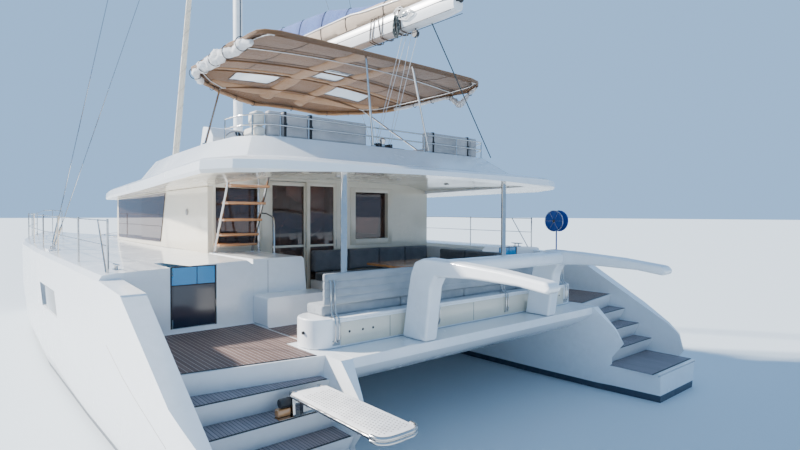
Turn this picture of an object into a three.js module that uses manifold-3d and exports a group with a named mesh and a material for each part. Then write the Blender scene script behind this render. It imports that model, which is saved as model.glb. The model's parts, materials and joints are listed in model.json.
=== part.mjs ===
// A cruising catamaran with a flybridge, modelled afloat. Millimetres, +Z up, +Y to the bows,
// +X to starboard. The origin is on the waterline, midships, on the centreline.
import * as THREE from "three";
import { mergeVertices } from "three/addons/utils/BufferGeometryUtils.js";
import Module from "manifold-3d";

const wasm = await Module();
wasm.setup();

// Driving dimensions
const HALF_LENGTH = 7920; // hulls run from -7920 to +7920
const HULL_X = 3300; // centreline of each hull
const HULL_IN = 900; // from a hull's centreline to its inner face
const KEEL_DEPTH = 1500; // draft
const SOLE_Z = 1380; // cockpit sole
const FLOOR_Z = 1400; // saloon floor
const FOREDECK_Z = 2240;
const TUNNEL_Z = 920; // underside of the bridgedeck
const PLATFORM_Z = 440; // swim platforms
const DECK_END_Y = -4600; // raised side decks end here
const BULKHEAD_Y = -3000; // aft face of the saloon's aft bulkhead
const MAST_Y = 1320;
const MAST_FOOT_Z = 3930;
const MAST_TOP_Z = 22600;
const BOOM_Z = 6040; // gooseneck height
const BOOM_LENGTH = 7300;
const BOOM_DROOP = 0.0105; // the boom's outer end hangs lower
const ROOF_Z = 3350; // underside of the hardtop at the sides of its aft edge
const ROOF_SLOPE = 0.0195; // the hardtop is lower towards the bows
const ROOF_AFT_Y = -6000;
const FLY_SOLE_Z = 3640;
const COAMING_Z = 3970;
const GAP = 0.3; // pieces that touch keep this much clear
const RAIL_R = 14;
const WIRE_R = 7;

const object = new THREE.Group();
const port = new THREE.Group();
const starboard = new THREE.Group();
port.position.x = -HULL_X;
starboard.position.x = HULL_X;
object.add(port, starboard);

// Finishes seen in the photograph
const finishes = {
  gelcoat: [0xf2f4f6, 0.25, 0],
  cream: [0xe9e2cf, 0.45, 0],
  wood: [0x9a5a2a, 0.35, 0],
  steel: [0xc9ccd0, 0.18, 1],
  alloy: [0xe9ebec, 0.4, 0.1],
  glass: [0x2c3338, 0.08, 0],
  blueglass: [0x3f95d6, 0.08, 0],
  grey: [0x8f959b, 0.85, 0],
  dark: [0x3b4046, 0.85, 0],
  tan: [0xa8886a, 0.9, 0],
  canvas: [0xcdbfa8, 0.9, 0],
  net: [0xd8dadb, 0.95, 0],
  antifoul: [0x2d3b52, 0.8, 0],
  bronze: [0xa98a52, 0.35, 1],
  navy: [0x1f3f8a, 0.8, 0],
};

// A solid from a three.js geometry, with its faces turned outwards. Faces that merging the
// vertices has emptied, as at a lathe's axis, are dropped.
function solid(geometry) {
  const bare = new THREE.BufferGeometry();
  const loose = geometry.index ? geometry.toNonIndexed() : geometry;
  bare.setAttribute("position", loose.getAttribute("position"));
  const merged = mergeVertices(bare, 0.01);
  const at = merged.attributes.position.array;
  const corners = merged.index.array;
  const faces = [];
  for (let i = 0; i < corners.length; i += 3) {
    const [p, q, r] = corners.slice(i, i + 3);
    if (p !== q && q !== r && r !== p) faces.push(p, q, r);
  }
  const triVerts = new Uint32Array(faces);
  const a = new THREE.Vector3();
  const b = new THREE.Vector3();
  const c = new THREE.Vector3();
  let volume = 0;
  for (let i = 0; i < triVerts.length; i += 3) {
    a.fromArray(at, triVerts[i] * 3);
    b.fromArray(at, triVerts[i + 1] * 3);
    c.fromArray(at, triVerts[i + 2] * 3);
    volume += a.dot(b.cross(c));
  }
  if (volume < 0) {
    for (let i = 0; i < triVerts.length; i += 3) {
      [triVerts[i + 1], triVerts[i + 2]] = [triVerts[i + 2], triVerts[i + 1]];
    }
  }
  return new wasm.Manifold(new wasm.Mesh({ numProp: 3, vertProperties: at, triVerts }));
}

function geometryOf(made) {
  const mesh = made.getMesh();
  const geometry = new THREE.BufferGeometry();
  geometry.setAttribute("position", new THREE.BufferAttribute(mesh.vertProperties, 3));
  geometry.setIndex(new THREE.BufferAttribute(mesh.triVerts, 1));
  return geometry;
}

const join = (...solids) => solids.flat().reduce((a, b) => a.add(b));
const cut = (body, ...tools) => tools.flat().reduce((a, b) => a.subtract(b), body);
const moved = (body, x, y, z) => solid(geometryOf(body).translate(x, y, z));

// What stands on a carrier, or hangs under it, is trimmed to it with the usual gap.
const standOn = (body, ...carriers) => cut(body, carriers.map((c) => moved(c, 0, 0, GAP)));
const hangUnder = (body, ...carriers) => cut(body, carriers.map((c) => moved(c, 0, 0, -GAP)));

// A block between two corners.
function block(x0, x1, y0, y1, z0, z1) {
  const shape = new THREE.BoxGeometry(x1 - x0, y1 - y0, z1 - z0);
  return solid(shape.translate((x0 + x1) / 2, (y0 + y1) / 2, (z0 + z1) / 2));
}

// An outline pushed along an axis. For x the outline is (y, z), for y (x, z), for z (x, y).
function prism(axis, outline, from, to) {
  const shape = new THREE.Shape(outline.map(([u, v]) => new THREE.Vector2(u, v)));
  const pushed = new THREE.ExtrudeGeometry(shape, { depth: to - from, bevelEnabled: false });
  const X = new THREE.Vector3(1, 0, 0);
  const Y = new THREE.Vector3(0, 1, 0);
  const Z = new THREE.Vector3(0, 0, 1);
  const turn = new THREE.Matrix4();
  if (axis === "x") turn.makeBasis(Y, Z, X).setPosition(from, 0, 0);
  if (axis === "y") turn.makeBasis(X, Z, Y.clone().negate()).setPosition(0, to, 0);
  if (axis === "z") turn.setPosition(0, 0, from);
  return solid(pushed.applyMatrix4(turn));
}

// A rectangle with round corners.
function roundRect(u0, u1, v0, v1, r, steps = 3) {
  const corners = [[u1 - r, v0 + r, -90], [u1 - r, v1 - r, 0], [u0 + r, v1 - r, 90], [u0 + r, v0 + r, 180]];
  const points = [];
  for (const [u, v, start] of corners) {
    for (let i = 0; i <= steps; i++) {
      const turn = THREE.MathUtils.degToRad(start + (90 * i) / steps);
      points.push([u + r * Math.cos(turn), v + r * Math.sin(turn)]);
    }
  }
  return points;
}

// A skin over rings that all have the same number of points, closed at both ends.
// cap picks the two coordinates of a ring that its flat end is drawn in.
function loft(rings, cap) {
  const count = rings[0].length;
  const positions = [];
  const push = (...points) => points.forEach((p) => positions.push(...p));
  for (let i = 0; i + 1 < rings.length; i++) {
    for (let j = 0; j < count; j++) {
      const k = (j + 1) % count;
      push(rings[i][j], rings[i][k], rings[i + 1][k]);
      push(rings[i][j], rings[i + 1][k], rings[i + 1][j]);
    }
  }
  const flatten = (ring) => ring.map((p) => new THREE.Vector2(p[cap[0]], p[cap[1]]));
  const close = (ring, flip) => {
    for (const [a, b, c] of THREE.ShapeUtils.triangulateShape(flatten(ring), [])) {
      if (flip) push(ring[a], ring[b], ring[c]);
      else push(ring[a], ring[c], ring[b]);
    }
  };
  const clockwise = THREE.ShapeUtils.isClockWise(flatten(rings[0]));
  close(rings[0], clockwise);
  close(rings.at(-1), !clockwise);
  const made = new THREE.BufferGeometry();
  made.setAttribute("position", new THREE.Float32BufferAttribute(positions, 3));
  return solid(made);
}

// A round bar between two points with a profile. columns: share of the way, radius
function turned(from, to, profile, sides) {
  const start = new THREE.Vector3(...from);
  const way = new THREE.Vector3(...to).sub(start);
  const edge = profile.map(([share, radius]) => new THREE.Vector2(radius, share * way.length()));
  edge.unshift(new THREE.Vector2(0, edge[0].y));
  edge.push(new THREE.Vector2(0, edge.at(-1).y));
  const up = new THREE.Vector3(0, 1, 0);
  const turn = new THREE.Quaternion().setFromUnitVectors(up, way.clone().normalize());
  const bar = new THREE.LatheGeometry(edge, sides).applyQuaternion(turn);
  return solid(bar.translate(...start.toArray()));
}

// A straight round bar between two points, tapered if a second radius is given.
function rod(from, to, radius, sides = 8, endRadius = radius) {
  return turned(from, to, [[0, radius], [1, endRadius]], sides);
}

// A bent tube through points.
function tube(points, radius, sides = 8, steps = 12) {
  const path = new THREE.CatmullRomCurve3(points.map((p) => new THREE.Vector3(...p)), false, "centripetal");
  const round = new THREE.Shape();
  for (let i = 0; i < sides; i++) {
    const turn = (2 * Math.PI * i) / sides;
    const [u, v] = [radius * Math.cos(turn), radius * Math.sin(turn)];
    if (i) round.lineTo(u, v);
    else round.moveTo(u, v);
  }
  return solid(new THREE.ExtrudeGeometry(round, { steps, extrudePath: path, bevelEnabled: false }));
}

// Straight bars end to end, with a ball at each bend.
function bars(points, radius, sides = 6) {
  const parts = [];
  for (let i = 0; i + 1 < points.length; i++) parts.push(rod(points[i], points[i + 1], radius, sides));
  for (const p of points.slice(1, -1)) {
    parts.push(solid(new THREE.IcosahedronGeometry(radius * 1.15, 0).translate(...p)));
  }
  return join(parts);
}

// A finished piece, placed in its group.
function piece(name, made, finish, parent = object, place = [0, 0, 0]) {
  const [color, roughness, metalness] = finishes[finish];
  const material = new THREE.MeshStandardMaterial({ color, roughness, metalness, flatShading: true });
  const mesh = new THREE.Mesh(geometryOf(made), material);
  mesh.name = name;
  mesh.position.set(...place);
  parent.add(mesh);
  return made;
}

// Hulls
// columns: y, keelZ, half width on the waterline, outer edge, inner edge, deck height
const HULL_SECTIONS = [
  [-HALF_LENGTH, -40, 600, 760, -600, 2230],
  [-6950, -190, 690, 960, -HULL_IN, 2240],
  [-5600, -330, 750, 1000, -HULL_IN, 2250],
  [-3000, -500, 800, 1000, -HULL_IN, 2270],
  [500, -640, 820, 1000, -HULL_IN, 2300],
  [3600, -640, 690, 920, -HULL_IN, 2320],
  [4700, -610, 590, 840, -HULL_IN, 2330],
  [6400, -520, 350, 560, -500, 2340],
  [7450, -420, 160, 300, -280, 2350],
  [HALF_LENGTH, -260, 22, 60, -60, 2350],
];
const CAMBER = 70; // the deck's outer edge is this much lower

function hullRing([y, keelZ, half, outer, inner, deckZ]) {
  const points = [
    [0, keelZ],
    [0.62 * half, 0.66 * keelZ],
    [half, 0],
    [0.35 * half + 0.65 * outer, 430],
    [outer - 10, 1150],
    [outer, deckZ - CAMBER - 80],
    [outer - 40, deckZ - CAMBER - 15],
    [outer - 0.14 * outer, deckZ - CAMBER],
    [inner * 0.9, deckZ],
    [inner, deckZ - 60],
    [inner, 880],
    [-0.45 * half + 0.55 * inner, 480],
    [-half, 0],
    [-0.62 * half, 0.66 * keelZ],
  ];
  return points.map(([u, z]) => [u, y, z]);
}

// columns: y of the nosing at the hull's centreline, height, undercut of the riser below it,
// skew of the nosing, which runs forward to the outer side
const STEPS = [
  [-6535, SOLE_Z, 60, 0.18],
  [-6720, 1145, 110, 0.05],
  [-6955, 910, 105, 0],
  [-7190, 675, 110, 0],
];
const STEP_IN = -750; // the flight lies between these two, from the hull's centreline
const STEP_OUT = 750;

function sternCut() {
  const far = -HALF_LENGTH - 200;
  const high = 2700;
  const flight = (u) => {
    const ring = [[u, DECK_END_Y, high], [u, DECK_END_Y, SOLE_Z]];
    STEPS.forEach(([y, z, undercut, skew], i) => {
      const nosing = y + skew * u;
      ring.push([u, nosing, z], [u, nosing + undercut, STEPS[i + 1]?.[1] ?? PLATFORM_Z]);
    });
    return [...ring, [u, far, PLATFORM_Z], [u, far, high]];
  };
  const steps = loft([flight(STEP_IN), flight(STEP_OUT)], [1, 2]);
  const outerWing = [[-5600, high], [-5600, 2060], [-7450, 980], [-7640, 820], [-7760, PLATFORM_Z],
    [far, PLATFORM_Z], [far, high]];
  const innerWing = [[DECK_END_Y, high], [DECK_END_Y, SOLE_Z], [-6960, SOLE_Z], [-7280, 1060],
    [-7440, 790], [-7480, PLATFORM_Z], [far, PLATFORM_Z], [far, high]];
  const bulwark = [[DECK_END_Y, high], [DECK_END_Y, 2120], [-5700, 2060], [-5700, high]];
  return [
    steps,
    prism("x", outerWing, STEP_OUT - 10, 1200),
    prism("x", innerWing, -1100, STEP_IN + 10),
    prism("x", bulwark, STEP_OUT - 10, 1200),
  ];
}

// A slim fin below the hull. columns: z, leading edge y, trailing edge y, half thickness
function fin(levels) {
  const rings = levels.map(([z, lead, trail, half]) => {
    const chord = lead - trail;
    const [thick, thin] = [lead - 0.25 * chord, lead - 0.6 * chord];
    const ring = [[0, lead], [half, thick], [0.8 * half, thin], [6, trail],
      [-6, trail], [-0.8 * half, thin], [-half, thick]];
    return ring.map(([x, y]) => [x, y, z]);
  });
  return loft(rings, [0, 1]);
}

const RUDDER_Y = -6850;
const STOCK_R = 35;
const DOOR_W = 590;
const DOOR_IN = -390; // nearer edge of the aft cabin door, from the hull's centreline
const DOOR_LOW = 1440;
const DOOR_HIGH = 2225;
const DOOR_DEEP = 700;
const CHAINPLATE_OUT = 830; // from the hull's centreline
const CHAINPLATE_Z = 2250;

function hullSolid(side) {
  const mirror = (ring) => ring.map(([u, y, z]) => [side * u, y, z]);
  const body = loft(HULL_SECTIONS.map((s) => mirror(hullRing(s))), [0, 2]);
  const keel = fin([[-KEEL_DEPTH, 900, -1900, 120], [-900, 1250, -2200, 170], [-420, 1500, -2400, 210]]);
  const tools = sternCut().map((tool) => {
    const shape = geometryOf(tool);
    return solid(shape.scale(side, 1, 1));
  });
  const bore = rod([0, RUDDER_Y, -600], [0, RUDDER_Y, 40], STOCK_R + 0.8, 32);
  const doorway = block(0, DOOR_W, DECK_END_Y - 10, DECK_END_Y + DOOR_DEEP, DOOR_LOW, DOOR_HIGH);
  const placed = moved(doorway, side > 0 ? DOOR_IN : -DOOR_IN - DOOR_W, 0, 0);
  const window = prism("x", [[290, 1640], [-1380, 1640], [-1650, 1240], [-20, 1240]], 972, 1200);
  const recess = solid(geometryOf(window).scale(side, 1, 1));
  const chainplatePad = moved(block(-90, 90, -240, 180, 2000, CHAINPLATE_Z), side * CHAINPLATE_OUT, 0, 0);
  return join(cut(join(body, keel), tools, bore, placed, recess), chainplatePad);
}

const hulls = {};
for (const [name, side, group] of [["port", -1, port], ["starboard", 1, starboard]]) {
  const hull = hullSolid(side);
  hulls[name] = moved(hull, side * HULL_X, 0, 0);
  piece(`hull_${name}`, hull, "gelcoat", group);
}

// Underwater gear of each hull: saildrive leg, propeller and rudder
const DRIVE_Y = -4350;
const SHAFT_Z = -930;
const PROP_Y = -4640;

function saildrive(hull) {
  const leg = fin([[-980, DRIVE_Y + 130, DRIVE_Y - 150, 42], [-300, DRIVE_Y + 170, DRIVE_Y - 170, 60]]);
  const gearcase = rod([0, PROP_Y + 110, SHAFT_Z], [0, DRIVE_Y + 110, SHAFT_Z], 78, 14);
  const nose = rod([0, DRIVE_Y + 109, SHAFT_Z], [0, DRIVE_Y + 230, SHAFT_Z], 78, 14, 20);
  return hangUnder(join(leg, gearcase, nose), hull);
}

function propeller() {
  const hub = rod([0, 0, 0], [0, 110, 0], 52, 14);
  const cone = rod([0, 1, 0], [0, -90, 0], 50, 14, 16);
  const blades = [0, 1, 2].map((i) => {
    const blade = loft(
      [[40, 34, 8], [120, 70, 7], [190, 60, 5], [228, 22, 3]].map(([r, w, t]) => {
        const pitch = 0.95 - r / 420;
        return [[-w, -t], [w, -t], [w, t], [-w, t]].map(([u, v]) => [
          u * Math.cos(pitch) - v * Math.sin(pitch),
          55 + u * Math.sin(pitch) + v * Math.cos(pitch),
          r,
        ]);
      }),
      [0, 1],
    );
    return solid(geometryOf(blade).rotateY((i * 2 * Math.PI) / 3));
  });
  return join(hub, cone, blades);
}

function rudder() {
  const blade = fin([[-1230, 120, -330, 26], [-700, 140, -390, 40], [-310, 150, -410, 46]]);
  return join(blade, rod([0, 0, -420], [0, 0, 20], STOCK_R, 32));
}

for (const [name, side, group] of [["port", -1, port], ["starboard", 1, starboard]]) {
  const local = moved(hulls[name], -side * HULL_X, 0, 0);
  piece(`saildrive_${name}`, saildrive(local), "alloy", group);
  piece(`propeller_${name}`, propeller(), "bronze", group, [0, PROP_Y - GAP, SHAFT_Z]);
  piece(`rudder_${name}`, rudder(), "antifoul", group, [0, RUDDER_Y, 0]);
}

// Bridgedeck: cockpit sole, saloon floor and foredeck in one moulding between the hulls
const DECK_HALF = HULL_X - HULL_IN - GAP;
const BRIDGE_PROFILE = [
  [-6950, 1270], [-6950, SOLE_Z], [BULKHEAD_Y, SOLE_Z], [BULKHEAD_Y, FLOOR_Z], [2100, FLOOR_Z],
  [2100, FOREDECK_Z], [4700, FOREDECK_Z + 40], [4700, 1560], [4300, 1130], [3300, TUNNEL_Z],
  [-6100, TUNNEL_Z], [-6500, 990], [-6820, 1160],
];
const bridgedeck = prism("x", BRIDGE_PROFILE, -DECK_HALF, DECK_HALF);
piece("bridgedeck", bridgedeck, "gelcoat");

// Forward crossbeam, bow walkway and nets
const BEAM_Y = 6650;
const BEAM_Z = 2160;
const STRIKER_TOP = 2520; // the forestay's pad above the crossbeam
const hullPair = [hulls.port, hulls.starboard];
// What ends at a carrier's side is trimmed to it with the usual gap.
const sideways = (body, carriers) =>
  cut(body, carriers.flatMap((c) => [moved(c, GAP, 0, 0), moved(c, -GAP, 0, 0)]));
const crossbeam = sideways(
  join(
    rod([-3000, BEAM_Y, BEAM_Z], [3000, BEAM_Y, BEAM_Z], 95, 14),
    block(-60, 60, BEAM_Y - 60, BEAM_Y + 60, STRIKER_TOP - 50, STRIKER_TOP),
    bars([[-2300, BEAM_Y, BEAM_Z + 60], [0, BEAM_Y, STRIKER_TOP - 25], [2300, BEAM_Y, BEAM_Z + 60]], 14),
    rod([0, BEAM_Y, BEAM_Z], [0, BEAM_Y, STRIKER_TOP - 10], 26),
  ),
  hullPair,
);
piece("crossbeam", crossbeam, "alloy");

const walkway = prism("y", roundRect(-260, 260, BEAM_Z - 60, BEAM_Z + 60, 40), 4700 + GAP, BEAM_Y - 95.6);
piece("bow_walkway", walkway, "gelcoat");

const NET_Z = 2175;
for (const [name, side] of [["port", -1], ["starboard", 1]]) {
  const net = block(260 + 12, 2600, 4700 + GAP, BEAM_Y - 110, NET_Z, NET_Z + 14);
  const placed = solid(geometryOf(net).scale(side, 1, 1));
  piece(`trampoline_${name}`, sideways(placed, [hulls[name]]), "net");
}

// Hardtop with the flybridge coaming, in one moulding
// columns: x, y of the starboard half, from the aft edge to the front
const ROOF_RIM = [[0, -5990], [1700, -6000], [2650, -5940], [3170, -5720], [3400, -5330], [3330, -4200],
  [3080, -1400], [2930, 1200], [2740, 2450], [2300, 3040], [1300, 3290], [0, 3340]];
// The coaming stands steep on the roof. Its foot and its rim have the same columns as the roof.
const COAMING_FOOT = [[0, -5320], [1700, -5330], [2330, -5290], [2700, -5080], [2900, -4680], [2960, -3600],
  [2800, -1500], [2640, 0], [2430, 800], [2000, 1230], [1100, 1430], [0, 1480]];
const COAMING_RIM = [[0, -4800], [1700, -4800], [2180, -4770], [2420, -4620], [2560, -4330], [2600, -3500],
  [2480, -1500], [2330, 0], [2150, 500], [1750, 740], [1000, 860], [0, 900]];
const COAMING_FOOT_Z = 3660;

function planRing(half, z, shrink, slope) {
  const middle = -1330;
  const full = [...half.map(([x, y]) => [x, y]), ...half.slice(1, -1).reverse().map(([x, y]) => [-x, y])];
  return full.map(([x, y]) => {
    const at = middle + (y - middle) * (1 - shrink / 4600);
    return [x * (1 - shrink / 3300), at, z - slope * (at - ROOF_AFT_Y)];
  });
}

const roofShell = loft(
  [
    planRing(ROOF_RIM, ROOF_Z, 110, ROOF_SLOPE),
    planRing(ROOF_RIM, ROOF_Z + 20, 25, ROOF_SLOPE),
    planRing(ROOF_RIM, ROOF_Z + 65, 0, ROOF_SLOPE),
    planRing(ROOF_RIM, ROOF_Z + 170, 12, ROOF_SLOPE),
    planRing(ROOF_RIM, ROOF_Z + 205, 70, ROOF_SLOPE),
    planRing(COAMING_FOOT, COAMING_FOOT_Z, 0, ROOF_SLOPE),
    planRing(COAMING_RIM, COAMING_Z, 0, 0.004),
  ],
  [0, 1],
);

// The roof's underside is crowned athwart, and a deeper panel is recessed inside its rim.
const VAULT_HALF = 3300;
const VAULT_RISE = 100;
const CEILING = [[2350, 3400], [1800, 3500], [0, 3530]]; // columns: x, height
const CEILING_ENDS = [-5650, 400];
function vault() {
  const shares = [-1, -0.8, -0.6, -0.4, -0.2, 0, 0.2, 0.4, 0.6, 0.8, 1];
  const ring = (y) => {
    const low = ROOF_Z - ROOF_SLOPE * (y - ROOF_AFT_Y);
    const arch = shares.map((s) => [s * VAULT_HALF, y, low + VAULT_RISE * (1 - s * s)]);
    return [...arch, [VAULT_HALF, y, low - 400], [-VAULT_HALF, y, low - 400]];
  };
  return loft([ring(ROOF_AFT_Y - 200), ring(3600)], [0, 2]);
}
const ceilingEdge = [...CEILING, ...CEILING.slice(0, -1).reverse().map(([x, z]) => [-x, z])];
const ceilingLow = [-1, 1].map((side) => [side * CEILING[0][0], 3000]);
const ceiling = prism("y", [...ceilingLow, ...ceilingEdge], ...CEILING_ENDS);
const well = loft(
  [planRing(COAMING_RIM, FLY_SOLE_Z, 150, 0), planRing(COAMING_RIM, COAMING_Z + 200, 120, 0)],
  [0, 1],
);
const MAST_PAD = [-230, 230, MAST_Y - 240, MAST_Y + 260, 3560, MAST_FOOT_Z];
const LOUNGE_Z = 3930;
// columns: name, port end x, starboard end x
const LOUNGES = [["port", -2200, -480], ["starboard", 820, 2150]];
const LOUNGE_FRONT_Y = -4150;
const HATCH = [-2440, -1700, -4120, -3040]; // the stairs come up through it
const hardtop = join(
  cut(roofShell, vault(), ceiling, well, block(...HATCH, 3000, 3900)),
  block(...MAST_PAD),
  LOUNGES.map(([, x0, x1]) => block(x0 - 20, x1 + 20, -4700, LOUNGE_FRONT_Y, FLY_SOLE_Z - 20, LOUNGE_Z)),
);
piece("hardtop", hardtop, "gelcoat");

// Saloon walls
const WALL = 60;
const SIDE_X = 2600;
// columns: x, y of the outer face, from the aft corner forwards, then round to the centreline
const WALL_SIDE = [[2420, BULKHEAD_Y], [2560, -1500], [SIDE_X, 0]];
const WALL_FRONT = [[2480, 2450], [2120, 2800], [1300, 2960], [0, 3010]];

const WALL_TOP = 3380; // trimmed under the hardtop
const SPLIT_Y = 1900; // side and front walls part here

function wallBand(line, thick, out, z0, z1) {
  const outer = line.map(([x, y]) => [x, y]);
  const normal = (i) => {
    const [ax, ay] = line[Math.max(i - 1, 0)];
    const [bx, by] = line[Math.min(i + 1, line.length - 1)];
    const length = Math.hypot(bx - ax, by - ay);
    return [(by - ay) / length, -(bx - ax) / length];
  };
  const shift = (distance) => outer.map(([x, y], i) => {
    const [nx, ny] = normal(i);
    return [x + nx * distance, y + ny * distance];
  });
  return prism("z", [...shift(out), ...shift(out - thick).reverse()], z0, z1);
}

const WIN_LOW = 2400;
const WIN_HIGH = 3180;
const mirrored = (body) => solid(geometryOf(body).scale(-1, 1, 1));
const fullLine = (line) => [...line, ...line.slice(0, -1).reverse().map(([x, y]) => [-x, y])];

const SIDE_WINDOW = [[-1070, WIN_LOW], [1800, WIN_LOW], [1800, 3185], [-1350, 3250]]; // columns: y, z
const sideOpening = (lap) => {
  const outline = SIDE_WINDOW.map(([y, z]) => [y + lap * Math.sign(y), z + lap * Math.sign(z - 2800)]);
  return prism("x", outline, 2300, 2800);
};
function sideWall() {
  const line = [...WALL_SIDE, [SIDE_X, SPLIT_Y - GAP]];
  return cut(wallBand(line, WALL, 0, 2000, WALL_TOP), sideOpening(0));
}

const sideGlassLine = [[2563, -1420], [SIDE_X, 0], [SIDE_X, 1870]];
const sideWalls = {};
for (const [name, flip] of [["starboard", (b) => b], ["port", mirrored]]) {
  sideWalls[name] = standOn(flip(sideWall()), hulls[name]);
  const wall = piece(`saloon_side_${name}`, hangUnder(sideWalls[name], hardtop), "cream");
  const sheet = wallBand(sideGlassLine, 12, 13, WIN_LOW - 30, WALL_TOP);
  const pane = flip(sheet.intersect(sideOpening(25)));
  piece(`side_glass_${name}`, hangUnder(cut(pane, wall), hardtop), "glass");
}

const FRONT_LINE = fullLine([[SIDE_X, SPLIT_Y], [SIDE_X, SPLIT_Y + 120], ...WALL_FRONT]);
// columns: middle x and y of a front window, its width, its turn in degrees
const FRONT_WINDOWS = [[-1900, 2880, 900, 20], [-650, 2980, 1150, 4], [650, 2980, 1150, -4],
  [1900, 2880, 900, -20]];
const frontWindows = FRONT_WINDOWS.map(([x, y, width, turn]) => {
  const hole = new THREE.BoxGeometry(width, 700, WIN_HIGH - WIN_LOW);
  return solid(hole.rotateZ(THREE.MathUtils.degToRad(turn)).translate(x, y, (WIN_LOW + WIN_HIGH) / 2));
});
const frontWall = hangUnder(
  standOn(cut(wallBand(FRONT_LINE, WALL, 0, 2000, WALL_TOP), frontWindows), bridgedeck, ...hullPair),
  hardtop,
);
piece("saloon_front", frontWall, "cream");
const frontPane = wallBand(fullLine(WALL_FRONT), 12, 13, WIN_LOW - 30, WIN_HIGH + 5);
piece("front_glass", cut(frontPane, frontWall), "glass");

// Aft bulkhead with its doorway and two windows
// columns: port edge, starboard edge, low edge, high edge
const DOORWAY = [-1330, 60, FLOOR_Z + 30, 3475];
const AFT_WINDOWS = { port: [-2310, -1500, 2350, 3335], starboard: [470, 1320, 2395, 3335] };
const BULKHEAD_THICK = 110;
const BULKHEAD_HALF = DECK_HALF - 4;
const WINDOW_LAP = 30; // the panes lap the wall behind their holes
const throughBulkhead = ([x0, x1, z0, z1]) => block(x0, x1, BULKHEAD_Y - 50, BULKHEAD_Y + 200, z0, z1);
const bulkheadFaces = [BULKHEAD_Y + 2, BULKHEAD_Y + BULKHEAD_THICK];
const slab = block(-BULKHEAD_HALF, BULKHEAD_HALF, ...bulkheadFaces, FLOOR_Z + GAP, FLY_SOLE_Z - 40);
const bulkheadOpenings = [DOORWAY, ...Object.values(AFT_WINDOWS)].map(throughBulkhead);
const bulkhead = hangUnder(cut(slab, bulkheadOpenings), hardtop);
piece("saloon_aft_bulkhead", sideways(bulkhead, Object.values(sideWalls)), "cream");
for (const [name, [x0, x1, z0, z1]] of Object.entries(AFT_WINDOWS)) {
  const [back, front] = [BULKHEAD_Y + BULKHEAD_THICK + GAP, BULKHEAD_Y + BULKHEAD_THICK + 12];
  const pane = block(x0 - WINDOW_LAP, x1 + WINDOW_LAP, back, front, z0 - WINDOW_LAP, z1 + WINDOW_LAP);
  piece(`aft_window_${name}`, pane, "glass");
}

// Saloon door: a fixed leaf and one that slides inboard of it
function doorLeaf(width, height) {
  const frame = block(0, width, 0, 34, 0, height);
  const hole = block(70, width - 70, -5, 12, 80, height - 70);
  const back = block(70, width - 70, 22, 40, 80, height - 70);
  return cut(frame, hole, back);
}
const FIXED_WIDE = 650;
const SLIDING_WIDE = 770;
const leafHigh = DOORWAY[3] - DOORWAY[2] - 2 * GAP;
const fixedPlace = [DOORWAY[1] - FIXED_WIDE + GAP, BULKHEAD_Y + 8, DOORWAY[2] + GAP];
piece("saloon_door_fixed", doorLeaf(FIXED_WIDE - 2 * GAP, leafHigh), "cream", object, fixedPlace);
const rollers = [120, 640].map((x) => rod([x, 10, 15], [x, 24, 15], 15 - GAP, 16));
const slidingLeaf = join(moved(doorLeaf(SLIDING_WIDE, leafHigh - 18), 0, 0, 10), rollers);
piece("saloon_door_sliding", slidingLeaf, "cream", object, [DOORWAY[0] + 8, BULKHEAD_Y + 60, DOORWAY[2]]);

// Hardtop posts
for (const [name, side] of [["port", -1], ["starboard", 1]]) {
  const post = join(
    rod([0, 0, SOLE_Z + GAP], [0, 0, ROOF_Z + VAULT_RISE + 20], 42, 14),
    rod([0, 0, SOLE_Z + GAP], [0, 0, SOLE_Z + 14], 80, 14),
  );
  const placed = moved(post, side * 1650, -5710, 0);
  piece(`hardtop_post_${name}`, hangUnder(placed, hardtop), "steel");
}

// Port side deck inboard of the hull, with a step, and the stairs to the flybridge on it
const BLOCK_Z = 2270;
const SIDE_DECK = [[-DECK_HALF + GAP, SOLE_Z + GAP], [-1530, SOLE_Z + GAP], [-1600, BLOCK_Z - 30],
  [-1640, BLOCK_Z], [-DECK_HALF + GAP, BLOCK_Z]];
const SIDE_STEP = roundRect(-DECK_HALF + GAP, -1400, SOLE_Z + GAP, 1780, 40);
const sideDeck = join(
  prism("y", SIDE_DECK, DECK_END_Y, BULKHEAD_Y - 2),
  prism("y", SIDE_STEP, DECK_END_Y - 430, DECK_END_Y + 5),
);
piece("side_deck_port", sideDeck, "gelcoat");

const STAIR_IN = -1720;
const STAIR_OUT = -2390;
const TREADS = [2420, 2585, 2820, 3080, 3340]; // heights of the treads' tops
const TREAD_THICK = 34;
const STAIR_HEAD = 3560;
// The flight leans aft as it climbs: the y of its middle at a height.
const stairY = (z) => -3230 - 0.5 * (z - TREADS[0]);
function stairs() {
  const stringer = (x) => prism("x", [BLOCK_Z + GAP, STAIR_HEAD].flatMap((z, i) => {
    const [aft, forward] = [[stairY(z) - 55, z], [stairY(z) + 55, z]];
    return i ? [forward, aft] : [aft, forward];
  }), x, x + 40);
  const steps = TREADS.map((z) => {
    const y = stairY(z);
    return block(STAIR_OUT + 10, STAIR_IN - 10, y - 120, y + 120, z - TREAD_THICK, z);
  });
  return join(stringer(STAIR_OUT), stringer(STAIR_IN - 40), steps);
}
piece("flybridge_stairs", stairs(), "wood");

// Aft cabin doors, hinged on their outer edges
function cabinDoor(side) {
  const high = DOOR_HIGH - DOOR_LOW;
  const leaf = block(22, DOOR_W - 24, -9, 9, 8, high - 8);
  const pin = rod([0, 0, GAP], [0, 0, high - GAP], 10, 14);
  const arm = block(0, 30, -6, 6, 120, high - 120);
  const door = join(leaf, pin, arm);
  return side > 0 ? mirrored(door) : door;
}
for (const [name, side, group] of [["port", -1, port], ["starboard", 1, starboard]]) {
  const hinge = side * (DOOR_IN + DOOR_W - 16);
  piece(`aft_cabin_door_${name}`, cabinDoor(side), "blueglass", group, [hinge, DECK_END_Y + 18, DOOR_LOW]);
}

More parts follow.
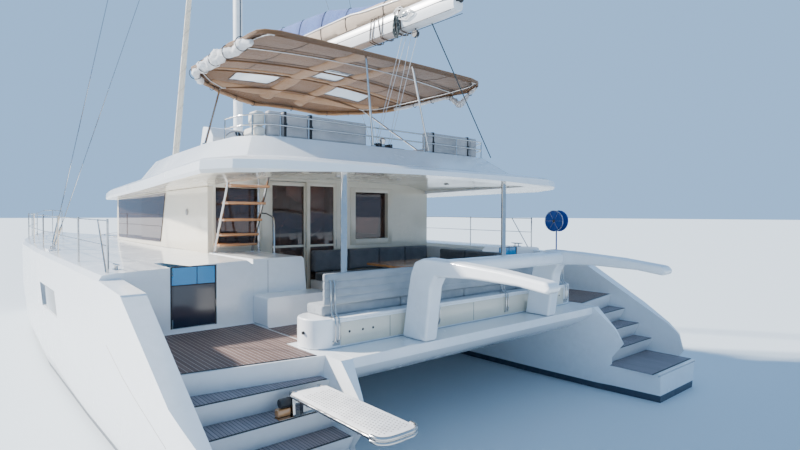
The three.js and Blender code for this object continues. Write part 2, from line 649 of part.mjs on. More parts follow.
// Cockpit furniture
const BENCH_Z = 1720;
const benchBase = prism("z", roundRect(-2590, 2590, -6500, -5960, 240, 4), SOLE_Z + GAP, BENCH_Z);
piece("aft_bench", benchBase, "gelcoat");
const benchSeat = prism("z", roundRect(-2380, 2380, -6330, -5980, 60), BENCH_Z + GAP, 1850);
piece("aft_bench_cushion", benchSeat, "grey");
const backrest = join(
  prism("y", roundRect(-2390, 2390, 1850, 2220, 30), -6400, -6355),
  [-2300, -720, 720, 2300].map((x) => block(x - 22, x + 22, -6450, -6398, BENCH_Z + GAP, 2060)),
);
piece("aft_bench_backrest", backrest, "grey");

const sofa = join(
  block(-560, 2250, -3700, BULKHEAD_Y - 60, SOLE_Z + GAP, 1840),
  block(1600, 2250, -5200, -3650, SOLE_Z + GAP, 1840),
  block(-560, 2250, -3200, BULKHEAD_Y - 60, 1800, 2230),
  block(2110, 2250, -5200, -3200, 1800, 2190),
);
piece("cockpit_sofa", sofa, "dark");
const table = join(
  prism("z", roundRect(60, 1480, -4900, -3860, 120), 1990, 2030),
  rod([770, -4380, SOLE_Z + GAP], [770, -4380, 2000], 60, 12),
  rod([770, -4380, SOLE_Z + GAP], [770, -4380, SOLE_Z + 20], 210, 16),
);
piece("cockpit_table", table, "wood");

// Flybridge cushions and helm
const SEAT_REACH = 2040; // the seats end inside the coaming, their backs pass over it
for (const [name, x0, x1] of LOUNGES) {
  const [seat0, seat1] = [Math.max(x0, -SEAT_REACH), Math.min(x1, SEAT_REACH)];
  const cushion = join(
    block(seat0, seat1, -4640, LOUNGE_FRONT_Y - 10, LOUNGE_Z + GAP, LOUNGE_Z + 120),
    block(x0, x1, -4665, -4530, COAMING_Z + GAP, 4345),
  );
  piece(`flybridge_cushion_${name}`, cushion, "grey");
}
const HELM = [-900, -700, 4300]; // the wheel's hub
const CONSOLE = [[-620, FLY_SOLE_Z + GAP], [-620, 4480], [-420, 4700], [-60, 4760], [120, 4300],
  [160, FLY_SOLE_Z + GAP]];
piece("helm_console", prism("x", CONSOLE, HELM[0] - 500, HELM[0] + 500), "gelcoat");
const wheelRim = solid(new THREE.TorusGeometry(330, 17, 8, 28).rotateX(Math.PI / 2));
const spokes = [0, 1, 2, 3, 4].map((i) => {
  const turn = (i * 2 * Math.PI) / 5;
  return rod([0, 0, 0], [330 * Math.sin(turn), 0, 330 * Math.cos(turn)], 11);
});
const wheel = join(wheelRim, spokes, rod([0, -30, 0], [0, 80 - GAP, 0], 45, 14));
piece("helm_wheel", wheel, "steel", object, HELM);

// Bimini: a crowned canopy on a stainless frame
// The canopy's cross sections, from its straight aft edge to its drooping, rounded front
// columns: y, reach to port, reach to starboard, height of the side edges, rise of the middle
const CANOPY_RINGS = [
  [-4880, 2120, 1750, 5370, 12],
  [-4800, 2310, 2010, 5370, 30],
  [-4700, 2380, 2140, 5370, 50],
  [-4500, 2420, 2260, 5370, 80],
  [-3900, 2440, 2350, 5370, 135],
  [-3000, 2430, 2370, 5370, 175],
  [-2240, 2400, 2360, 5370, 185],
  [-1900, 2080, 2080, 5290, 205],
  [-1560, 1620, 1620, 5250, 160],
  [-1280, 1100, 1200, 5225, 85],
  [-1060, 480, 620, 5200, 15],
];
const CANOPY = 26; // the cloth and its piping
const canopySection = (y) => {
  const i = CANOPY_RINGS.findIndex((ring, n) => n && ring[0] >= y);
  const [a, b] = [CANOPY_RINGS[i - 1], CANOPY_RINGS[i]];
  const t = (y - a[0]) / (b[0] - a[0]);
  return a.map((value, n) => value + t * (b[n] - value));
};
const reachOf = ([, toPort, toStarboard], x) => (x < 0 ? toPort : toStarboard);
const canopyHeight = (section, x) => section[3] + section[4] * (1 - (x / reachOf(section, x)) ** 2);
function canopy() {
  const rings = CANOPY_RINGS.map((section) => {
    const shares = [-1, -0.8, -0.55, -0.28, 0, 0.28, 0.55, 0.8, 1];
    const xs = shares.map((share) => share * reachOf(section, share));
    const at = (x, thick) => [x, section[0], canopyHeight(section, x) + thick];
    return [...xs.map((x) => at(x, CANOPY)), ...xs.reverse().map((x) => at(x, 0))];
  });
  return loft(rings, [0, 2]);
}
const bimini = canopy();
piece("bimini_canopy", bimini, "tan");

const HOOPS = [-4760, -3900, -3000, -2240, -1650]; // their places along the boat
const HOOP_IN = 70; // they end this far inside the cloth's edges
const BELOW_CANOPY = RAIL_R + 8; // the tubes are trimmed where the cloth lies on them
const underCanopy = (x, y) => [x, y, canopyHeight(canopySection(y), x) - BELOW_CANOPY];
const hoopPoint = (share, y) =>
  underCanopy(share * (reachOf(canopySection(y), share) - HOOP_IN), y);
const hoops = HOOPS.map((y) =>
  tube([-1, -0.8, -0.4, 0, 0.4, 0.8, 1].map((share) => hoopPoint(share, y)), RAIL_R, 6, 8));
const RUNNER_SHARE = 0.97; // the runners cross the hoops just inside their ends
const runners = [-1, 1].map((side) =>
  bars(HOOPS.map((y) => hoopPoint(side * RUNNER_SHARE, y)), RAIL_R));
// columns: x and y of a leg's foot on the coaming, x and y of its head under the canopy
const LEGS = [[-420, -4745, -600, -4780], [800, -4745, 380, -4780],
  [-2530, -3200, -1660, -1650], [2530, -3200, 1660, -1650]];
const legs = LEGS.map(([x0, y0, x1, y1]) =>
  rod([x0, y0, COAMING_Z - 40], underCanopy(x1, y1), RAIL_R + 4, 6));
const frame = standOn(hangUnder(join(hoops, runners, legs), bimini), hardtop);
piece("bimini_frame", frame, "steel");

// Mast, boom, sail bag and headsail
function mastSolid() {
  const levels = [[MAST_FOOT_Z + GAP, 105, 150], [18500, 105, 150], [MAST_TOP_Z, 60, 85]];
  const rings = levels.map(([z, w, l]) => {
    const ring = [];
    for (let i = 0; i < 12; i++) {
      const turn = (i * Math.PI) / 6;
      ring.push([w * Math.cos(turn), MAST_Y + l * Math.sin(turn), z]);
    }
    return ring;
  });
  // The gooseneck's two lugs, above and below the boom's toggle
  const lugs = [BOOM_Z + 60 + GAP, BOOM_Z - 60 - GAP - 24].map((z) =>
    block(-30, 30, MAST_Y - 235, MAST_Y - 130, z, z + 24));
  // columns: height, reach to the side
  const spreaders = [[11200, 1250], [16800, 1000]].flatMap(([z, reach]) => [-1, 1].map((side) =>
    rod([side * 60, MAST_Y, z], [side * reach, MAST_Y + 260, z + 60], 34, 8, 22)));
  const head = block(-70, 70, MAST_Y - 300, MAST_Y + 200, MAST_TOP_Z - 60, MAST_TOP_Z + 20);
  return join(loft(rings, [0, 1]), lugs, spreaders, head);
}
const mast = mastSolid();
piece("mast", mast, "alloy");

const GOOSE_Y = MAST_Y - 205;
const BOOM_HALF = 175; // half its height
function boomSolid() {
  // columns: y, half width, half height
  const sections = [[-BOOM_LENGTH, 100, 150], [-BOOM_LENGTH + 300, 120, BOOM_HALF], [-110, 120, BOOM_HALF]];
  const rings = sections.map(([y, w, h]) => {
    const ring = roundRect(-w, w, -h, h, 0.6 * w, 2);
    return ring.map(([x, z]) => [x, y, z + BOOM_DROOP * y]);
  });
  const spar = loft(rings, [0, 2]);
  const toggle = rod([0, 0, -60], [0, 0, 60], 26, 14);
  const tongue = block(-20, 20, -130, -10, -50, 50);
  return join(spar, toggle, tongue);
}
piece("boom", boomSolid(), "alloy", object, [0, GOOSE_Y, BOOM_Z]);

function bagSolid() {
  // columns: y, half width at the foot, height above the boom
  const levels = [[-BOOM_LENGTH + 500, 90, 180], [-5200, 130, 320], [-4000, 150, 580], [-2000, 160, 740],
    [-400, 165, 800]];
  const rings = levels.map(([y, w, h]) => {
    const ring = [[-w, 0], [w, 0], [w * 0.9, h * 0.6], [26, h], [-26, h], [-w * 0.9, h * 0.6]];
    return ring.map(([x, z]) => [x, y, z + BOOM_HALF + GAP + BOOM_DROOP * y]);
  });
  return loft(rings, [0, 2]);
}
piece("sail_bag", bagSolid(), "canvas", object, [0, GOOSE_Y, BOOM_Z]);

// Headsail furled on its stay, with the furling drum near the foot. columns: share of the way up, radius
const FURL = [[0, 18], [0.021, 18], [0.021, 95], [0.034, 95], [0.034, 60], [0.1, 95], [0.5, 85], [0.93, 30],
  [0.93, 12], [1, 12]];
const headsail = turned([0, BEAM_Y, STRIKER_TOP - 20], [0, MAST_Y + 60, 21200], FURL, 10);
piece("furled_headsail", cut(standOn(headsail, crossbeam), moved(mast, 0, GAP, 0)), "canvas");

// Shrouds from the chainplates to the mast, each with its turnbuckle
// columns: name, y of the foot, height of the head, radius
const SHROUDS = [["cap", 60, 21800, WIRE_R + 1], ["lower", -120, 15000, WIRE_R]];
const TURNBUCKLE_R = 22;
for (const [name, side] of [["port", -1], ["starboard", 1]]) {
  for (const [kind, y, top, r] of SHROUDS) {
    const foot = [side * (HULL_X + CHAINPLATE_OUT), y, CHAINPLATE_Z];
    const head = [side * 30, MAST_Y - 20, top];
    const profile = [[0, r], [0.006, r], [0.006, TURNBUCKLE_R], [0.03, TURNBUCKLE_R], [0.03, r], [1, r]];
    const plate = block(foot[0] - 30, foot[0] + 30, y - 40, y + 40, CHAINPLATE_Z - 10, CHAINPLATE_Z + 40);
    const trimmed = standOn(join(turned(foot, head, profile, 6), plate), hulls[name]);
    piece(`${kind}_shroud_${name}`, cut(trimmed, moved(mast, side * GAP, 0, 0)), "steel");
  }
}

// Davits on the aft edge of the bridgedeck
const DAVIT = [[-6530, SOLE_Z + GAP], [-6950, SOLE_Z + GAP], [-7040, 2030], [-7120, 2165], [-7660, 2190],
  [-8260, 2175], [-8600, 2130], [-8655, 2180], [-8600, 2250], [-8050, 2315], [-7400, 2360], [-6900, 2375],
  [-6750, 2320], [-6680, 2180], [-6640, 2000]];
const DAVIT_X = 1250;
const DAVIT_HALF = 105; // half its thickness
for (const [name, side] of [["port", -1], ["starboard", 1]]) {
  const arm = prism("x", DAVIT, side * DAVIT_X - DAVIT_HALF, side * DAVIT_X + DAVIT_HALF);
  piece(`davit_${name}`, cut(arm, moved(benchBase, 0, -GAP, 0), moved(backrest, 0, -GAP, 0)), "gelcoat");
}
const beamReach = DAVIT_X - DAVIT_HALF - GAP;
piece("davit_beam", prism("x", roundRect(-7200, -6900, 2175, 2345, 55), -beamReach, beamReach), "gelcoat");

// Gangway on the port steps, with its hinge bracket
const GANGWAY = [-2900, -6860, 1130];
const TREAD_Z = STEPS[2][1]; // the bracket stands on this tread
const CHEEK = [[-6910, TREAD_Z + 5], [-6820, TREAD_Z + 5], [-6830, 1150], [-6890, 1150]];
const bracket = join(
  block(-3240, -2710, -6940, -6815, TREAD_Z + GAP, TREAD_Z + 15),
  block(-2960, -2840, -6910, -6840, TREAD_Z + 5, 1090),
  [-3060, -2740].map((x) => prism("x", CHEEK, x - 12, x + 12)),
  block(-3060, -2740, -6905, -6825, 1040, 1075),
);
piece("gangway_bracket", bracket, "steel");
const board = prism("z", roundRect(-210, 210, -1480, -60, 90, 4), -25, 25);
const slots = [];
for (let i = 0; i < 7; i++) slots.push(block(-150, 150, -320 - i * 170, -260 - i * 170, -40, 40));
const barrel = rod([-148 + GAP, 0, 0], [148 - GAP, 0, 0], 20, 14);
const gangway = join(cut(board, slots), barrel, block(-110, 110, -80, 0, -12, 12));
piece("gangway", gangway, "alloy", object, GANGWAY);

// Guardrails, each one welded and wired from bow to quarter
function deckEdge(y) {
  const i = HULL_SECTIONS.findIndex((s, n) => n && s[0] >= y);
  const [a, b] = [HULL_SECTIONS[i - 1], HULL_SECTIONS[i]];
  const t = (y - a[0]) / (b[0] - a[0]);
  return [a[3] + t * (b[3] - a[3]), a[5] + t * (b[5] - a[5]) - CAMBER];
}
const STANCHIONS = [-4480, -2700, -900, 900, 2700, 4500, 6000, 7100];
const RAIL_HIGH = 640;
const RAIL_IN = 130; // the stanchions stand this far in from the deck's edge
const WIRE_OFF = 3; // the wires pass this far inboard of the stanchions' axes
// The pulpit's top rail from the last stanchion round the bow. columns: x from the hull's centreline, y, z
const PULPIT = [[0, 7840, 2980], [-120, 7100, 2990], [-300, 6700, 2960]];
for (const [name, side] of [["port", -1], ["starboard", 1]]) {
  const at = (y, rise, inboard = 0) => {
    const [outer, z] = deckEdge(y);
    return [side * (HULL_X + outer - RAIL_IN - inboard), y, z + rise];
  };
  const parts = STANCHIONS.map((y) => rod(at(y, -60), at(y, RAIL_HIGH), RAIL_R, 6));
  parts.push(rod(at(STANCHIONS[0] + 60, -60), at(-3950, RAIL_HIGH - 16, WIRE_OFF), RAIL_R - 3, 6));
  for (const rise of [RAIL_HIGH - 22, RAIL_HIGH / 2]) {
    for (let i = 0; i + 1 < STANCHIONS.length; i++) {
      const [from, to] = [at(STANCHIONS[i], rise, WIRE_OFF), at(STANCHIONS[i + 1], rise, WIRE_OFF)];
      parts.push(rod(from, to, WIRE_R, 4));
    }
  }
  const pulpit = PULPIT.map(([x, y, z]) => [side * (HULL_X + x), y, z]);
  parts.push(bars([at(STANCHIONS.at(-1), RAIL_HIGH - 30), ...pulpit], RAIL_R - 3));
  for (const [x, y, z] of pulpit.slice(1)) parts.push(rod([x, y, 2250], [x, y, z + 4], RAIL_R, 6));
  piece(`guardrail_${name}`, standOn(join(parts), hulls[name], crossbeam), "steel");
}

// Line reel on the starboard quarter
const REEL = [HULL_X + 880, -5100];
const reel = join(
  rod([REEL[0], REEL[1], 2000], [REEL[0], REEL[1], 2760], 16),
  rod([REEL[0] - 90, REEL[1], 2760], [REEL[0] + 90, REEL[1], 2760], 90, 14),
  rod([REEL[0] - 100, REEL[1], 2760], [REEL[0] - 84, REEL[1], 2760], 225, 20),
  rod([REEL[0] + 84, REEL[1], 2760], [REEL[0] + 100, REEL[1], 2760], 225, 20),
);
piece("line_reel", standOn(reel, hulls.starboard), "navy");

// Foredeck locker lids
for (const [name, side] of [["port", -1], ["starboard", 1]]) {
  const lid = join(
    prism("z", roundRect(-380, 380, 26, 780, 50), -12, 18),
    rod([-300, 0, 0], [300, 0, 0], 12, 14),
    block(-290, 290, 0, 60, -8, 8),
  );
  const z = FOREDECK_Z + (40 * (3400 - 2100)) / 2600;
  const made = solid(geometryOf(lid).rotateX(40 / 2600));
  piece(`foredeck_lid_${name}`, made, "gelcoat", object, [side * 1150, 3400, z + 12 + 0.6]);
}

export default object;
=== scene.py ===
"""The looks of a cruising catamaran with a flybridge, afloat. Metres, +X to starboard, +Y to the bows."""
import json
import math

import bmesh
import bpy
from mathutils import Matrix, Vector, noise
from mathutils.bvhtree import BVHTree

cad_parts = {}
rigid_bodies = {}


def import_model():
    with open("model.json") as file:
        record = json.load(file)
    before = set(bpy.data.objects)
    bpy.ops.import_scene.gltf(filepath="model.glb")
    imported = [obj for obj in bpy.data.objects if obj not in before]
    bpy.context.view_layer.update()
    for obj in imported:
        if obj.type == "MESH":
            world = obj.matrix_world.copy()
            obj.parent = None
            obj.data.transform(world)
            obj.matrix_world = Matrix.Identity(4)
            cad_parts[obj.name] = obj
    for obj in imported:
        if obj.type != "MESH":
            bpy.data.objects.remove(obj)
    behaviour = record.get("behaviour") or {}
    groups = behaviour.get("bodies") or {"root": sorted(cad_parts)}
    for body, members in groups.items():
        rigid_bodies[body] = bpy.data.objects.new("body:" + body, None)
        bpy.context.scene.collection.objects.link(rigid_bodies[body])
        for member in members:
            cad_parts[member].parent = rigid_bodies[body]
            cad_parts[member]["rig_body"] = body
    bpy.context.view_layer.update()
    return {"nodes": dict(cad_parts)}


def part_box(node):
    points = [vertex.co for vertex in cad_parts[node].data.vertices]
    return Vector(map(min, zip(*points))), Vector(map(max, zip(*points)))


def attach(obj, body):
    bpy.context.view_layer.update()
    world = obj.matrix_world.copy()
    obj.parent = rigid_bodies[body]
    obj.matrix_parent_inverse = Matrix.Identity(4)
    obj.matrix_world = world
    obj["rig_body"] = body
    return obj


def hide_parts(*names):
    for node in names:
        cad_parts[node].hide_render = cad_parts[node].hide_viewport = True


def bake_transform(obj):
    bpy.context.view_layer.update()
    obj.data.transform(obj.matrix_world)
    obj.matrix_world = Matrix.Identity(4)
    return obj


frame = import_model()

radians = math.radians

# Camera, floor and light
# The eye is behind the port quarter, a little above the cockpit. The floor lies at the waterline.
# A strong sun stands ahead of the port beam, half high, and a pale blue sky fills the shade.
EYE = (-5.65, -11.51, 2.89)
HEADING, PITCH, ROLL = 40.58, -1.14, 0.14
LENS, SENSOR, FAR_END = 24.06, 36, 900
FLOOR_HALF, FLOOR_GREY = 400, (0.60, 0.66, 0.70)
SUN_WAY, SUN_POWER, SUN_WIDTH, SUN_TINT = (0.53, -0.68, -0.54), 15.0, 3, (1.0, 0.96, 0.9)
SKY_BLUE, SKY_POWER = (0.36, 0.62, 1.0, 1), 1.1


def in_scene(name, data):
    """A new object, linked into the scene."""
    made = bpy.data.objects.new(name, data)
    bpy.context.scene.collection.objects.link(made)
    return made


def finish(name, colour, roughness, metallic=0.0, fixed=None):
    """A material whose shader holds every value that is the same all over."""
    material = bpy.data.materials.new(name)
    material.use_nodes = True
    shader = material.node_tree.nodes["Principled BSDF"]
    values = {"Base Color": (*colour, 1), "Roughness": roughness, "Metallic": metallic, **(fixed or {})}
    for socket, value in values.items():
        shader.inputs[socket].default_value = value
    return material


camera = in_scene("camera", bpy.data.cameras.new("camera"))
camera.data.lens = LENS
camera.data.sensor_width = SENSOR
camera.data.clip_end = FAR_END
tilt = Matrix.Rotation(radians(90 + PITCH), 4, "X") @ Matrix.Rotation(radians(ROLL), 4, "Z")
camera.matrix_world = Matrix.Translation(EYE) @ Matrix.Rotation(radians(-HEADING), 4, "Z") @ tilt
bpy.context.scene.camera = camera

floor_mesh = bpy.data.meshes.new("floor")
floor_corners = [(FLOOR_HALF * x, FLOOR_HALF * y, 0) for x, y in ((-1, -1), (1, -1), (1, 1), (-1, 1))]
floor_mesh.from_pydata(floor_corners, [], [(0, 1, 2, 3)])
floor_mesh.materials.append(finish("pale floor", FLOOR_GREY, 0.6))
floor = in_scene("floor", floor_mesh)

sun = in_scene("sun", bpy.data.lights.new("sun", "SUN"))
sun.data.energy = SUN_POWER
sun.data.angle = radians(SUN_WIDTH)
sun.data.color = SUN_TINT
sun.rotation_euler = Vector(SUN_WAY).to_track_quat("-Z", "Y").to_euler()
world = bpy.data.worlds.new("pale sky")
world.use_nodes = True
sky = world.node_tree.nodes["Background"].inputs
sky["Color"].default_value = SKY_BLUE
sky["Strength"].default_value = SKY_POWER
bpy.context.scene.world = world

# Hulls
# Two moulded hulls of glass fibre with polished white gelcoat, dark antifouling paint below a
# boot line, a bonded window in each outer side, and drains along the deck's edge.
HULL_X = 3.3
SIDES = (("port", -1), ("starboard", 1))


def add_node(tree, kind, inputs, **settings):
    """A shader node. Its inputs are given as values or as sockets to link."""
    node = tree.nodes.new("ShaderNode" + kind)
    for key, value in settings.items():
        setattr(node, key, value)
    for key, value in inputs.items():
        if isinstance(value, bpy.types.NodeSocket):
            tree.links.new(value, node.inputs[key])
        else:
            node.inputs[key].default_value = value
    return node.outputs


def sums(tree, operation, a, b=0.0):
    """One step of arithmetic on values."""
    return add_node(tree, "Math", {0: a, 1: b}, operation=operation)[0]


def spread(tree, value, low, high, to_low=0.0, to_high=1.0):
    """A value between low and high, spread over another range."""
    inputs = {"Value": value, "From Min": low, "From Max": high, "To Min": to_low, "To Max": to_high}
    return add_node(tree, "MapRange", inputs)[0]


def mixed(tree, share, first, second):
    """Two colours mixed by a share."""
    pair = [c if isinstance(c, bpy.types.NodeSocket) else (*c, 1) for c in (first, second)]
    return add_node(tree, "Mix", {0: share, 6: pair[0], 7: pair[1]}, data_type="RGBA")[2]


def place(tree):
    """The point on the boat, in metres."""
    return add_node(tree, "TexCoord", {})["Object"]


def effect(name, inputs, outputs, build):
    """A shader node group. inputs: (name, default); outputs: names of values."""
    group = bpy.data.node_groups.new(name, "ShaderNodeTree")
    for label, value in inputs:
        socket = group.interface.new_socket(label, in_out="INPUT", socket_type="NodeSocketFloat")
        socket.default_value = value
    for label in outputs:
        group.interface.new_socket(label, in_out="OUTPUT", socket_type="NodeSocketFloat")
    given = group.nodes.new("NodeGroupInput").outputs
    result = group.nodes.new("NodeGroupOutput").inputs
    for label, socket in build(group, given).items():
        group.links.new(socket, result[label])
    return group


def use(tree, group, inputs):
    """An effect placed in a material with values of its own."""
    node = tree.nodes.new("ShaderNodeGroup")
    node.node_tree = group
    for key, value in inputs.items():
        node.inputs[key].default_value = value
    return node.outputs


def dress(material, **sockets):
    """Links sockets that vary over the surface to the material's shader. Height goes through a bump."""
    tree = material.node_tree
    shader = tree.nodes["Principled BSDF"]
    height = sockets.pop("height", None)
    if height is not None:
        socket, depth = height
        bump = add_node(tree, "Bump", {"Height": socket, "Distance": depth, "Strength": 1.0})[0]
        tree.links.new(bump, shader.inputs["Normal"])
    names = {"colour": "Base Color", "roughness": "Roughness", "alpha": "Alpha", "metallic": "Metallic"}
    for key, socket in sockets.items():
        tree.links.new(socket, shader.inputs[names[key]])
    return material


def repaint(material, share, colour):
    """Lays another colour over a material's own, as far as share says."""
    tree = material.node_tree
    base = tree.nodes["Principled BSDF"].inputs["Base Color"]
    tree.links.new(mixed(tree, share, base.links[0].from_socket, colour), base)


def build_haze(tree, given):
    spots = add_node(tree, "TexNoise", {"Vector": place(tree), "Scale": given["Size"], "Detail": 5.0})[0]
    return {"Mask": spread(tree, spots, 0.35, 0.7)}


haze = effect("salt haze", [("Size", 1.5)], ["Mask"], build_haze)


def mottled(material, size, first, second, **sockets):
    """Lets a material's colour vary between two, in soft spots."""
    marks = use(material.node_tree, haze, {"Size": size})["Mask"]
    return dress(material, colour=mixed(material.node_tree, marks, first, second), **sockets)


WHITE = (0.82, 0.84, 0.86)
DULL = (0.70, 0.71, 0.70)
ANTIFOULING = (0.035, 0.05, 0.075)
BOOT_LINE = 0.11


def gelcoat_finish(name, colour, dull, below=None):
    """Polished moulding with a trace of salt, and paint below the boot line where it is asked for."""
    material = finish(name, colour, 0.16, fixed={"Coat Weight": 0.35, "Coat Roughness": 0.05})
    tree = material.node_tree
    salt = use(tree, haze, {"Size": 1.3})["Mask"]
    fine = use(tree, haze, {"Size": 9.0})["Mask"]
    trace = sums(tree, "MULTIPLY", sums(tree, "MULTIPLY", salt, fine), 0.55)
    colours = mixed(tree, trace, colour, dull)
    rough = spread(tree, trace, 0.0, 0.5, 0.13, 0.32)
    if below:
        height = add_node(tree, "SeparateXYZ", {0: place(tree)})["Z"]
        painted = spread(tree, height, BOOT_LINE, BOOT_LINE - 0.006)
        colours = mixed(tree, painted, colours, below)
        rough = sums(tree, "ADD", rough, sums(tree, "MULTIPLY", painted, 0.5))
    ripple = add_node(tree, "TexNoise", {"Vector": place(tree), "Scale": 2.5, "Detail": 1.0})[0]
    return dress(material, colour=colours, roughness=rough, height=(ripple, 0.0015))


gelcoat = gelcoat_finish("white gelcoat", WHITE, DULL)
hull_gelcoat = gelcoat_finish("hull gelcoat", WHITE, DULL, below=ANTIFOULING)


def solid_of(node):
    """The welded faces of a solid of the frame."""
    shape = bmesh.new()
    shape.from_mesh(frame["nodes"][node].data)
    bmesh.ops.remove_doubles(shape, verts=shape.verts, dist=0.0001)
    bmesh.ops.dissolve_limit(shape, angle_limit=radians(0.6), verts=shape.verts, edges=shape.edges)
    shape.verts.index_update()
    mesh = bpy.data.meshes.new(node)
    mesh.from_pydata([v.co for v in shape.verts], [], [[v.index for v in face.verts] for face in shape.faces])
    shape.free()
    return mesh


def settle(piece):
    """The piece's modifiers become part of its mesh."""
    seen = piece.evaluated_get(bpy.context.evaluated_depsgraph_get())
    mesh = bpy.data.meshes.new_from_object(seen)
    piece.modifiers.clear()
    piece.data = mesh
    return piece


def mesh_of(shape, name, smooth=40):
    """The mesh of what was added, smooth but for its sharp edges."""
    bmesh.ops.recalc_face_normals(shape, faces=shape.faces)
    mesh = bpy.data.meshes.new(name)
    shape.to_mesh(mesh)
    shape.free()
    mesh.shade_smooth()
    mesh.set_sharp_from_angle(angle=radians(smooth))
    return mesh


def put(name, shape, material, body="boat", smooth=40):
    """A new piece of the boat, riding on one of its bodies, from a mesh or from what was added."""
    mesh = shape if isinstance(shape, bpy.types.Mesh) else mesh_of(shape, name, smooth)
    piece = in_scene(name, mesh)
    mesh.materials.clear()
    mesh.materials.append(material)
    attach(piece, body)
    return piece


def body_of(node):
    """The body that a solid belongs to."""
    return frame["nodes"][node]["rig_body"]


def paint(names, material):
    """A finish for solids that show as they are."""
    for name in names:
        frame["nodes"][name].material_slots[0].material = material


def rounded(node, radius, material, angle=28):
    """A copy of a solid with its edges rounded, which then stands for it."""
    piece = put(node + "_skin", solid_of(node), material, body_of(node))
    bevel = piece.modifiers.new("edges", "BEVEL")
    bevel.width = radius
    bevel.segments = 2
    bevel.limit_method = "ANGLE"
    bevel.angle_limit = radians(angle)
    bevel.harden_normals = True
    piece.data.shade_smooth()
    settle(piece)
    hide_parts(node)
    return piece


def round_edges(shape, edges, radius, steps=2, clamped=True):
    """Rounds some edges of what was added."""
    bmesh.ops.bevel(shape, geom=edges, offset=radius, segments=steps, profile=0.5, affect="EDGES",
                    clamp_overlap=clamped)


def add_box(shape, low, high, rounding=0.0, turn=None):
    """A box between two opposite corners, its edges rounded."""
    size = [abs(h - l) for l, h in zip(low, high)]
    middle = [(h + l) / 2 for l, h in zip(low, high)]
    to_place = Matrix.Translation(middle) @ (turn or Matrix()) @ Matrix.Diagonal((*size, 1))
    made = bmesh.ops.create_cube(shape, size=1, matrix=to_place)["verts"]
    if rounding:
        round_edges(shape, list({edge for vert in made for edge in vert.link_edges}), rounding)


def add_slab(shape, outline, at, rounding=0.0, axis="z"):
    """An outline pushed from one height to another. For axis x it is given as y and z."""
    ends = [[shape.verts.new((u, v, w) if axis == "z" else (w, u, v)) for u, v in outline] for w in at]
    faces = [shape.faces.new(ends[0]), shape.faces.new(ends[1][::-1])]
    for i in range(len(outline)):
        j = (i + 1) % len(outline)
        faces.append(shape.faces.new((ends[0][j], ends[0][i], ends[1][i], ends[1][j])))
    bmesh.ops.recalc_face_normals(shape, faces=faces)
    if rounding:
        round_edges(shape, list({edge for face in faces[:2] for edge in face.edges}), rounding)


def spaced(low, high, steps):
    """Values in even steps from low to high, both included."""
    return [low + (high - low) * i / steps for i in range(steps + 1)]


def angles(count):
    """Angles spread evenly round a circle."""
    return [2 * math.pi * i / count for i in range(count)]


def skin(shape, rows, closed=True):
    """Faces between rows of points. The rows of a closed skin come round to their start."""
    for near, far in zip(rows, rows[1:]):
        for i in range(len(near) if closed else len(near) - 1):
            j = (i + 1) % len(near)
            shape.faces.new((near[i], near[j], far[j], far[i]))


def add_tube(shape, points, radii, sides=10, closed=False):
    """A tube through points. radii is one radius or one for each point."""
    points = [Vector(p) for p in points]
    count = len(points)
    radii = [radii] * count if isinstance(radii, (int, float)) else radii
    rings = []
    normal = None
    for i, point in enumerate(points):
        before = points[i - 1] if i or closed else points[i]
        after = points[(i + 1) % count] if i + 1 < count or closed else points[i]
        along = after - before if (after - before).length > 1e-6 else points[-1] - points[0]
        along.normalize()
        if normal is None:
            normal = along.orthogonal().normalized()
        normal = (normal - along * normal.dot(along)).normalized()
        across = along.cross(normal)
        ring = []
        for turn in angles(sides):
            out = math.cos(turn) * normal + math.sin(turn) * across
            ring.append(shape.verts.new(point + radii[i] * out))
        rings.append(ring)
    skin(shape, rings + rings[:1] if closed else rings)
    if not closed:
        shape.faces.new(rings[0][::-1])
        shape.faces.new(rings[-1])


AXIS_RADIUS = 0.0004  # of a turned shape where it meets its axis


def add_turned(shape, start, end, profile, sides=24):
    """A turned shape between two points. profile: (share of the way, radius), from axis to axis."""
    start, end = Vector(start), Vector(end)
    spots = [start.lerp(end, share) for share, _ in profile]
    add_tube(shape, spots, [max(radius, AXIS_RADIUS) for _, radius in profile], sides)


def add_peg(shape, start, end, radius, end_radius, sides=24):
    """A plain round peg."""
    add_turned(shape, start, end, [(0, 0), (0, radius), (1, end_radius), (1, 0)], sides)


def add_ring(shape, centre, axis, radius, thick, sides=10, steps=40):
    """A round ring about an axis."""
    turn = Vector((0, 0, 1)).rotation_difference(Vector(axis)).to_matrix()
    spots = [Vector((radius * math.cos(t), radius * math.sin(t), 0)) for t in angles(steps)]
    add_tube(shape, [Vector(centre) + turn @ spot for spot in spots], thick, sides, closed=True)


tinted = finish("tinted glazing", (0.02, 0.025, 0.03), 0.03,
                fixed={"Coat Weight": 0.6, "Specular IOR Level": 0.8})
rubber = finish("black rubber", (0.02, 0.02, 0.022), 0.55)
WINDOW = [(0.26, 1.62), (-1.37, 1.62), (-1.62, 1.26), (0.0, 1.26)]  # y and z of its corners
PANE_X = (HULL_X + 0.966, HULL_X + 0.982)
DRAINS, DRAIN_X, DRAIN_LOW, DRAIN_HIGH = (-0.62, -1.5, -2.55), 4.292, 2.088, 2.108
for side_name, side in SIDES:
    rounded(f"hull_{side_name}", 0.014, hull_gelcoat)
    pane = bmesh.new()
    add_slab(pane, WINDOW, [side * x for x in PANE_X], 0.003, axis="x")
    put(f"hull_window_{side_name}", pane, tinted)
    # Each drain is a black slot standing out from the hull. Its black is painted shade of the opening.
    drains = bmesh.new()
    for y in DRAINS:
        x = side * DRAIN_X
        add_box(drains, (x - 0.006, y - 0.06, DRAIN_LOW), (x + 0.006, y + 0.06, DRAIN_HIGH), 0.004)
    put(f"deck_drains_{side_name}", drains, rubber)

